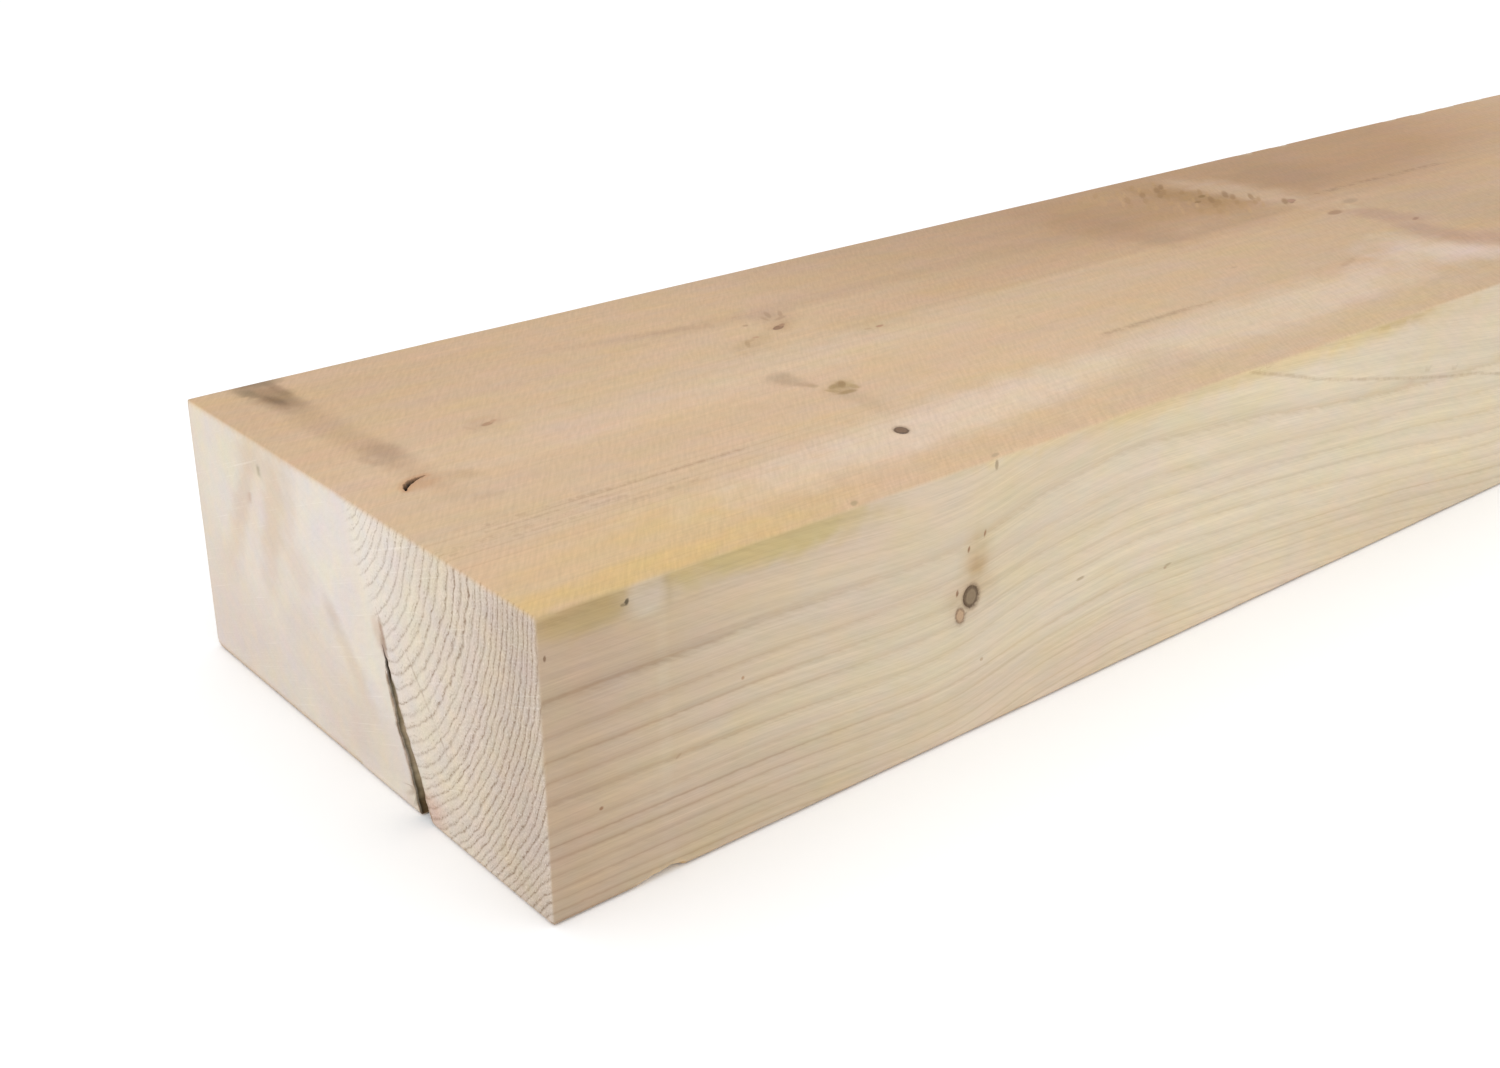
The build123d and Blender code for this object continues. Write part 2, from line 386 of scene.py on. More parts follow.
def cluster_points(k, fine):
    _, ca, cb, ra, rb, turn = k[:6]
    t = math.radians(turn)
    out = [(ca, cb)]
    big = max(ra, rb)
    if not fine:
        rings = (0.5, 0.8, 0.95, 1.08, 1.4, 2.1)
    elif k[8] > 0.3:
        rings = (0.45, 0.75, 0.9, 1.0, 1.12, 1.35, 1.8, 2.5)
    else:
        rings = (0.5, 0.85, 1.15, 1.7)
    for s in rings:
        count = int(max(6, min(34 if fine else 20, 2 * math.pi * big * s / (0.42 if fine else 1.3))))
        for i in range(count):
            w = 2 * math.pi * (i + 0.37 * s) / count
            u, v = ra * s * math.cos(w), rb * s * math.sin(w)
            out.append((ca + u * math.cos(t) - v * math.sin(t),
                        cb + u * math.sin(t) + v * math.cos(t)))
    return np.array(out)


def thin_out(points, keep_away):
    """Drops the points that lie inside any of the given ellipses."""
    ok = np.ones(len(points), bool)
    for k, reach in keep_away:
        u, v = knot_frame(k, points[:, 0], points[:, 1])
        ok &= np.hypot(u, v) > reach
    return points[ok]


def triangulate(points, w, h, border):
    """border: point lists along b=0, a=w, b=h and a=0, corners included."""
    loop = [(a, 0.0) for a in border[0][:-1]] + [(w, b) for b in border[1][:-1]]
    loop += [(a, h) for a in border[2][:0:-1]] + [(0.0, b) for b in border[3][:0:-1]]
    inside = points[(points[:, 0] > 0.12) & (points[:, 0] < w - 0.12)
                    & (points[:, 1] > 0.12) & (points[:, 1] < h - 0.12)]
    inside = np.unique(np.round(inside, 3), axis=0)
    allp = [Vector(p) for p in loop] + [Vector(p) for p in inside.tolist()]
    nl = len(loop)
    edges = [(i, (i + 1) % nl) for i in range(nl)]
    co, _, tri, _, _, _ = delaunay_2d_cdt(allp, edges, [], 0, 1e-5)
    co = np.array([tuple(v) for v in co])
    tri = np.array([t for t in tri if len(t) == 3], int)
    a, b, c = co[tri[:, 0]], co[tri[:, 1]], co[tri[:, 2]]
    area = (b[:, 0] - a[:, 0]) * (c[:, 1] - a[:, 1]) - (b[:, 1] - a[:, 1]) * (c[:, 0] - a[:, 0])
    tri[area < 0] = tri[area < 0][:, ::-1]
    return co, tri


def rows_along(w, h, aline, bline):
    """Rows that run just inside the four arrises."""
    out = []
    for e in ROWS:
        m = (aline > e) & (aline < w - e)
        out.append(np.stack([aline[m], np.full(m.sum(), e)], -1))
        out.append(np.stack([aline[m], np.full(m.sum(), h - e)], -1))
    for e in (0.225, 0.45, 0.95):
        m = (bline > 1.7) & (bline < h - 1.7)
        out.append(np.stack([np.full(m.sum(), e), bline[m]], -1))
        out.append(np.stack([np.full(m.sum(), w - e), bline[m]], -1))
    return np.concatenate(out)


def long_face(face, h, bline0, bline1, coarse):
    """One of the four long faces; a along the grain, b across it."""
    f = 1.0 if not coarse else 1.9
    m = 2.3
    blocks = [lattice_points(1.6, 60, 1.5 * f, m, h - m, 1.6 * f),
              lattice_points(60, 200, 2.4 * f, m, h - m, 2.2 * f),
              lattice_points(200, 450, 3.9 * f, m, h - m, 3.1 * f),
              lattice_points(450, 2398.4, 13.0 * f, m, h - m, 7.5 * f)]
    base = np.concatenate(blocks)
    mine = [k for k in KNOTS if k[0] == face]
    away = [(k, 2.75 if (k[8] or max(k[3], k[4]) > 1.4) else 2.0) for k in mine]
    extra = []
    for k in mine:
        extra.append(cluster_points(k, k[1] < 450))
        if k[1] > 450:          # a finer field round the far knots
            c = lattice_points(k[1] - 30, k[1] + 30, 3.6, max(m, k[2] - 18), min(h - m, k[2] + 18), 2.8)
            far = (k[0], k[1], k[2], 30.0, 18.0, 0.0)
            base = thin_out(base, [(far, 1.05)])
            u, v = knot_frame(far, c[:, 0], c[:, 1])
            base = np.concatenate([base, c[np.hypot(u, v) < 1.0]])
    for f_, path, half, _, _ in VEINS:
        if f_ != face:
            continue
        for (a0, b0), (a1, b1) in zip(path[:-1], path[1:]):
            span = math.hypot(a1 - a0, b1 - b0)
            ux, uy = (a1 - a0) / span, (b1 - b0) / span
            sa = np.arange(0.0, span, 3.0)
            near = np.array([(a0 + ux * q, b0 + uy * q) for q in sa])
            t = np.clip((base[:, 0] - a0) * ux + (base[:, 1] - b0) * uy, 0, span)
            d = np.hypot(base[:, 0] - a0 - t * ux, base[:, 1] - b0 - t * uy)
            base = base[d > 2.6 * half + 0.9]
            for o in (0.0, 0.8 * half, -0.8 * half, 2.2 * half, -2.2 * half):
                base = np.concatenate([base, near + o * np.array([-uy, ux])])
    if face == PZ:
        fis = (PZ, 17.2, 80.2, 7.0, 5.5, 20.0)
        base = thin_out(base, [(fis, 1.1)])
        c = lattice_points(9, 26, 0.3, 73, 88, 0.3)
        u, v = knot_frame(fis, c[:, 0], c[:, 1])
        extra.append(c[np.hypot(u, v) < 1.0])
    base = thin_out(base, away)
    # a cluster yields to an earlier one that it would run into
    kept, seen = [], []
    for k, pts in zip(mine + [None], extra + [np.zeros((0, 2))]):
        if k is None:
            break
        kept.append(thin_out(pts, seen))
        seen.append((k, 2.0))
    if face == PZ:
        kept.append(extra[-1])
    rows = thin_out(rows_along(LX, h, XS, bline0), [(k, 1.6) for k in mine])
    pts = np.concatenate([base, rows] + kept)
    return triangulate(pts, LX, h, [XS, bline1, XS, bline0])


def end_face(x, fine):
    """A sawn end: its points follow the growth rings where they show."""
    if fine:
        yb, zb0, zb1 = YS_NEAR, ZS_NEAR, ZS_FAR_SIDE
        arc, offs, reach = 0.95, (-0.62, -0.28, 0.0, 0.28, 0.62), 88.0
    else:
        yb, zb0, zb1 = YS_END, ZS_END, ZS_END
        arc, offs, reach = 2.6, (-0.5, 0.0, 0.5), 175.0
    pts = []
    r = np.arange(3.0, 126.0, 0.12)
    d0 = arc / 118.0
    rays = np.arange(math.radians(181.5), math.radians(268.5 if fine else 358.5), d0)
    for i, t in enumerate(rays):
        y, z = PITH[0] + r * math.cos(t), PITH[1] + r * math.sin(t)
        m = (y > 0.3) & (y < reach) & (z > 0.3) & (z < 74.7)
        if m.sum() < 6:
            continue
        rr, n = r[m], ring_number(np.full(m.sum(), x), y[m], z[m])
        n = np.maximum.accumulate(n + 1e-5 * rr)
        for level in np.arange(math.ceil(n[0] * 2) / 2, n[-1], 0.5):
            r0 = np.interp(level, n, rr)
            stride = 2 ** max(0, int(math.floor(math.log2(arc / (r0 * d0) + 1e-6))))
            if i % stride:
                continue
            for o in (offs if abs(level % 1 - 0.5) < 0.01 else (0.0,)):
                q = r0 + o
                if rr[0] < q < rr[-1]:
                    pts.append((PITH[0] + q * math.cos(t), PITH[1] + q * math.sin(t)))
    pts = np.array(pts)
    if fine:
        rest = lattice_points(reach - 0.4, 174, 1.5, 1.0, 74, 1.5)
        crackside = lattice_points(66, reach, 1.1, 1.0, 46, 1.1)
        crackside = crackside[crackside[:, 0] > crack_line(crackside[:, 1]) + 3.2]
        pts = pts[~((pts[:, 0] > crack_line(pts[:, 1]) + 2.6) & (pts[:, 1] < 44))]
        pts = np.concatenate([pts, rest, crackside])
    margin = 0.9
    pts = pts[(pts[:, 0] > margin) & (pts[:, 0] < LY - margin)
              & (pts[:, 1] > margin) & (pts[:, 1] < LZ - margin)]
    rows = []
    for e in (0.25, 0.55):
        rows.append(np.stack([yb[1:-1], np.full(len(yb) - 2, e)], -1))
        rows.append(np.stack([yb[1:-1], np.full(len(yb) - 2, LZ - e)], -1))
        rows.append(np.stack([np.full(len(zb0) - 2, e), zb0[1:-1]], -1))
        rows.append(np.stack([np.full(len(zb1) - 2, LY - e), zb1[1:-1]], -1))
    return triangulate(np.concatenate([pts] + rows), LY, LZ, [yb, zb1, yb, zb0])


def block():
    """All six faces welded into one closed mesh; returns points, triangles, face ids."""
    P, T, F = [], [], []
    base = 0
    jobs = [
        (NX, end_face(0.0, True), lambda a, b: (0 * a, a, b), True),
        (PX, end_face(LX, False), lambda a, b: (0 * a + LX, a, b), False),
        (NY, long_face(NY, LZ, ZS_NEAR, ZS_END, False), lambda a, b: (a, 0 * a, b), False),
        (PY, long_face(PY, LZ, ZS_FAR_SIDE, ZS_END, True), lambda a, b: (a, 0 * a + LY, b), True),
        (NZ, long_face(NZ, LY, YS_NEAR, YS_END, True), lambda a, b: (a, b, 0 * a), True),
        (PZ, long_face(PZ, LY, YS_NEAR, YS_END, False), lambda a, b: (a, b, 0 * a + LZ), False),
    ]
    for face, (co, tri), place, flip in jobs:
        P.append(np.stack(place(co[:, 0], co[:, 1]), -1))
        T.append((tri[:, ::-1] if flip else tri) + base)
        F.append(np.full(len(tri), face))
        base += len(co)
    P, T, F = np.concatenate(P), np.concatenate(T), np.concatenate(F)
    key = np.round(P * 2000).astype(np.int64)
    _, first, back = np.unique(key, axis=0, return_index=True, return_inverse=True)
    T = back.ravel()[T]
    good = (T[:, 0] != T[:, 1]) & (T[:, 1] != T[:, 2]) & (T[:, 2] != T[:, 0])
    return P[first], T[good], F[good]


def arris_radius(p):
    """Wear of the long arrises, a little different along each of them."""
    edge = (p[:, 1] > LY / 2) * 1.0 + (p[:, 2] > LZ / 2) * 2.0
    r = 1.05 + 0.26 * noise(p[:, 0] / 38, edge * 7.3, 0.2, 21)
    r += 0.12 * noise(p[:, 0] / 7, edge * 5.1, 0.6, 22)
    near = np.exp(-((p[:, 0] / 7.0) ** 2))
    r += near * np.where(edge == 2, 0.75, np.where(edge == 1, 1.0, 0.15))
    return np.clip(r, 0.75, 2.2)


def directions(p):
    """Outward direction on the worn block, in the arris's own measure."""
    r = arris_radius(p)
    R = np.stack([np.full(len(p), ROUND_X), r, r], -1)
    q = np.clip(p, R, np.array([LX, LY, LZ]) - R)
    d = (p - q) / R
    L = np.linalg.norm(d, axis=1)
    return q, R, d, L


# the torn slit in the top face, as a curved centre line with half widths
SLIT = [(13.4, 77.2, 0.12), (14.1, 78.9, 0.50), (15.5, 80.6, 0.85), (17.3, 81.8, 0.85),
        (19.3, 82.6, 0.50), (21.7, 82.9, 0.10)]


def slit_depth(x, y):
    """0 outside, 1 well inside the slit."""
    best = np.full(x.shape, 9.0)
    for (x0, y0, w0), (x1, y1, w1) in zip(SLIT[:-1], SLIT[1:]):
        dx, dy = x1 - x0, y1 - y0
        t = np.clip(((x - x0) * dx + (y - y0) * dy) / (dx * dx + dy * dy), 0, 1)
        d = np.hypot(x - x0 - t * dx, y - y0 - t * dy) - (w0 + t * (w1 - w0))
        best = np.minimum(best, d)
    return best


def relief(p, d):
    """Depth below the flat sawn faces, in mm, always 0 or more."""
    x, y, z = p.T
    w = d / np.linalg.norm(d, axis=1)[:, None]
    n = ring_number(x, y, z)
    f = n - np.floor(n)
    depth = np.zeros(len(p))
    # sawn ends: soft wood torn out along each latewood line
    for at, sign, strength in ((0.0, -1, 1.0), (LX, 1, 0.75)):
        m = (np.abs(x - at) < 1.0) & (w[:, 0] * sign > 0.2)
        g = ring_number(x[m], y[m] + 0.25, z[m]) - n[m]
        h = ring_number(x[m], y[m], z[m] + 0.25) - n[m]
        pitch = 1.0 / np.clip(np.hypot(g, h) * 4, 0.15, 1.2)
        off = (f[m] - 0.5) * pitch
        groove = np.exp(-((off / 0.28) ** 2)) + 0.15 * np.exp(-(((off + 0.45) / 0.5) ** 2))
        broken = 0.62 + 0.38 * noise(y[m] / 1.1, z[m] / 1.6, 3.3, 31)
        show = end_ring_show(y[m], z[m]) if at == 0 else 0.75 + 0 * y[m]
        saw = 0.5 + 0.5 * noise((y[m] * 0.93 - z[m] * 0.36) / 60, (y[m] * 0.36 + z[m] * 0.93) / 1.4, at, 32)
        tear = np.clip(noise(y[m] / 0.9, z[m] / 0.9, 5.1, 33), 0, 1)
        slow = 0.5 + 0.5 * noise(y[m] / 26, z[m] / 19, 1.0, 34)
        depth[m] += (w[m, 0] ** 2) * strength * (
            0.042 * groove * broken * show + 0.03 * saw + 0.05 * tear * show + 0.06 * slow)
    # long faces: barely felt latewood and the ripple of the saw or planer
    for m, wt in ((w[:, 1] < -0.2, w[:, 1] ** 2), (w[:, 1] > 0.2, w[:, 1] ** 2),
                  (w[:, 2] > 0.2, w[:, 2] ** 2), (w[:, 2] < -0.2, w[:, 2] ** 2)):
        wave = 0.5 + 0.5 * noise(x[m] / 90, y[m] / 22, z[m] / 22, 35)
        depth[m] += wt[m] * (0.05 * wave + 0.02 * np.exp(-(((f[m] - 0.5) / 0.12) ** 2)))
    # knots: a shrinkage groove at the rim, the middle a little sunk
    for k in KNOTS:
        face = k[0]
        on, a, b = on_face(face, p, w)
        m = on & (np.abs(a - k[1]) < 3 * k[3] + 3) & (np.abs(b - k[2]) < 3 * k[4] + 3)
        if not m.any():
            continue
        u, v = knot_frame(k, a[m], b[m])
        s = np.hypot(u, v)
        depth[m] += (0.34 * k[8] * np.exp(-(((s - 0.99) / 0.10) ** 2))
                     + 0.07 * k[7] * step(1.15, 0.7, s))
    top = (w[:, 2] > 0.5) & (x < 30) & (y > 68) & (y < 92)
    sd = slit_depth(x[top], y[top])
    depth[top] += 3.4 * step(0.12, -0.55, sd) + 0.10 * step(1.6, 0.1, sd)
    return depth


def on_face(face, p, w):
    x, y, z = p.T
    if face == NX:
        return w[:, 0] < -0.5, y, z
    if face == NY:
        return w[:, 1] < -0.5, x, z
    if face == PY:
        return w[:, 1] > 0.5, x, z
    if face == NZ:
        return w[:, 2] < -0.5, x, y
    return w[:, 2] > 0.5, x, y


def end_ring_show(y, z):
    """How clearly the rings show on the photographed end."""
    edge = np.interp(z, [0, 37, 41, 50, 60, 75], [crack_line(0) + 1, 70.5, 69, 75, 82, 85])
    soft = np.interp(z, [0, 36, 42, 75], [1.0, 1.5, 5, 6])
    fall = np.interp(y, [0, 12, 34, 50, 66, 88], [1.20, 1.28, 1.22, 0.88, 0.80, 0.66])
    return 0.05 + (0.95 * fall - 0.05) * step(edge + soft * 0.3, edge - soft, y)


# ---------------------------------------------------------------------------
# cutters: the open crack and the chip, as lofts with torn walls
# ---------------------------------------------------------------------------
def lofted(name, loops, ids):
    """Closed mesh from loops of equal length; ids gives each loop edge's face id."""
    n = len(loops[0])
    verts = np.concatenate(loops)
    faces, tags = [], []
    for s in range(len(loops) - 1):
        for i in range(n):
            j = (i + 1) % n
            a, b, c, d = s * n + i, s * n + j, (s + 1) * n + j, (s + 1) * n + i
            faces += [(a, b, c), (a, c, d)]
            tags += [ids[i], ids[i]]
    faces.append(tuple(range(n))[::-1])
    faces.append(tuple(range((len(loops) - 1) * n, len(loops) * n)))
    tags += [ids[0], ids[0]]
    me = bpy.data.meshes.new(name)
    me.from_pydata((verts * 0.001).tolist(), [], faces)
    me.update()
    at = me.attributes.new("chart", "INT", "FACE")
    at.data.foreach_set("value", np.array(tags, np.int32))
    ob = bpy.data.objects.new(name, me)
    bpy.context.scene.collection.objects.link(ob)
    return ob


TIP = (70.1, 41.0)
STATIONS = [(67.6, 32.5, 2.5), (63.6, 21.0, 3.8), (58.9, 11.0, 4.6), (55.1, 0.0, 5.4)]
APEX = (51.5, -1.0)
DEPTH = 176.0


def crack_cutter():
    zs = np.concatenate([np.arange(41.0, 36.0, -0.4), np.arange(36.0, -3.01, -0.55)])
    st = [(TIP[0], TIP[1], 0.0)] + STATIONS
    st.append((STATIONS[-1][0] - 3 * (STATIONS[-2][0] - STATIONS[-1][0]) / 11.0, -3.0, 5.8))
    st = sorted(st, key=lambda s: s[1])
    mid = np.interp(zs, [s[1] for s in st], [s[0] for s in st])
    half = np.interp(zs, [s[1] for s in st], [s[2] for s in st]) / 2
    loops = []
    depths = [-1.5, 0.0, 0.6, 1.3, 2.2, 3.4, 5.0, 7, 9.5, 12.5, 16, 20, 25, 31, 38, 46,
              55, 65, 76, 88, 101, 115, 130, 146, 160]
    for dpt in depths:
        s = 1 - max(dpt, 0.0) / DEPTH
        rag = lambda seed: (0.30 * noise(zs / 1.5, dpt / 14, 0.5, seed)
                            + 0.22 * noise(zs / 0.55, dpt / 6, 1.5, seed + 1)
                            + 0.30 * noise(zs / 5.0, dpt / 30, 2.5, seed + 2))
        fade = np.clip((41.3 - zs) / 3.0, 0.12, 1.0) * (0.35 + 0.65 * s)
        right = mid - half + 1.25 * rag(41) * fade
        left = mid + half + 1.1 * rag(51) * fade
        left = np.maximum(left, right + 0.05)
        left[0], right[0] = mid[0] + 0.05, mid[0] - 0.05
        ring = np.concatenate([np.stack([right, zs], -1), np.stack([left, zs], -1)[::-1]])
        ring = np.array(APEX) + (ring - np.array(APEX)) * s
        loops.append(np.column_stack([np.full(len(ring), dpt), ring]))
    n = len(zs)
    ids = [WALL_R] * n + [WALL_L] * n
    return lofted("crack_cutter", loops, ids)


def chip_cutter():
    start, deep, end, rise, reach = 16.0, 29.0, 37.0, 1.9, 8.0
    base = [(start, -1.2), (end + 0.4, -1.2), (end - 0.6, rise * 0.62), (deep + 4.5, rise),
            (deep, rise * 0.92), (start + 6.0, rise * 0.3)]
    ring = []
    for (x0, z0), (x1, z1) in zip(base, base[1:] + base[:1]):
        k = max(2, int(math.hypot(x1 - x0, z1 - z0) / 0.7))
        ring += [(x0 + (x1 - x0) * i / k, z0 + (z1 - z0) * i / k) for i in range(k)]
    ring = np.array(ring)
    apex = np.array([deep + 1.5, -0.2])
    loops = []
    for rch in (-1.0, 0.0, 0.5, 1.1, 1.8, 2.6, 3.5, 4.5, 5.6, 6.6, 7.4):
        s = 1 - rch / reach
        r = apex + (ring - apex) * s
        up = (ring[:, 1] > -0.5)
        r[:, 1] += up * s * (0.22 * noise(r[:, 0] / 1.6, rch / 2.2, 0.1, 61)
                             + 0.14 * noise(r[:, 0] / 0.6, rch / 1.3, 0.4, 62))
        r[:, 0] += up * 0.25 * s * noise(ring[:, 1] / 0.6, rch / 1.0, 0.8, 63)
        loops.append(np.column_stack([r[:, 0], np.full(len(r), rch), r[:, 1]]))
    ob = lofted("chip_cutter", [l[::-1] for l in loops], [CHIP] * len(ring))
    return ob
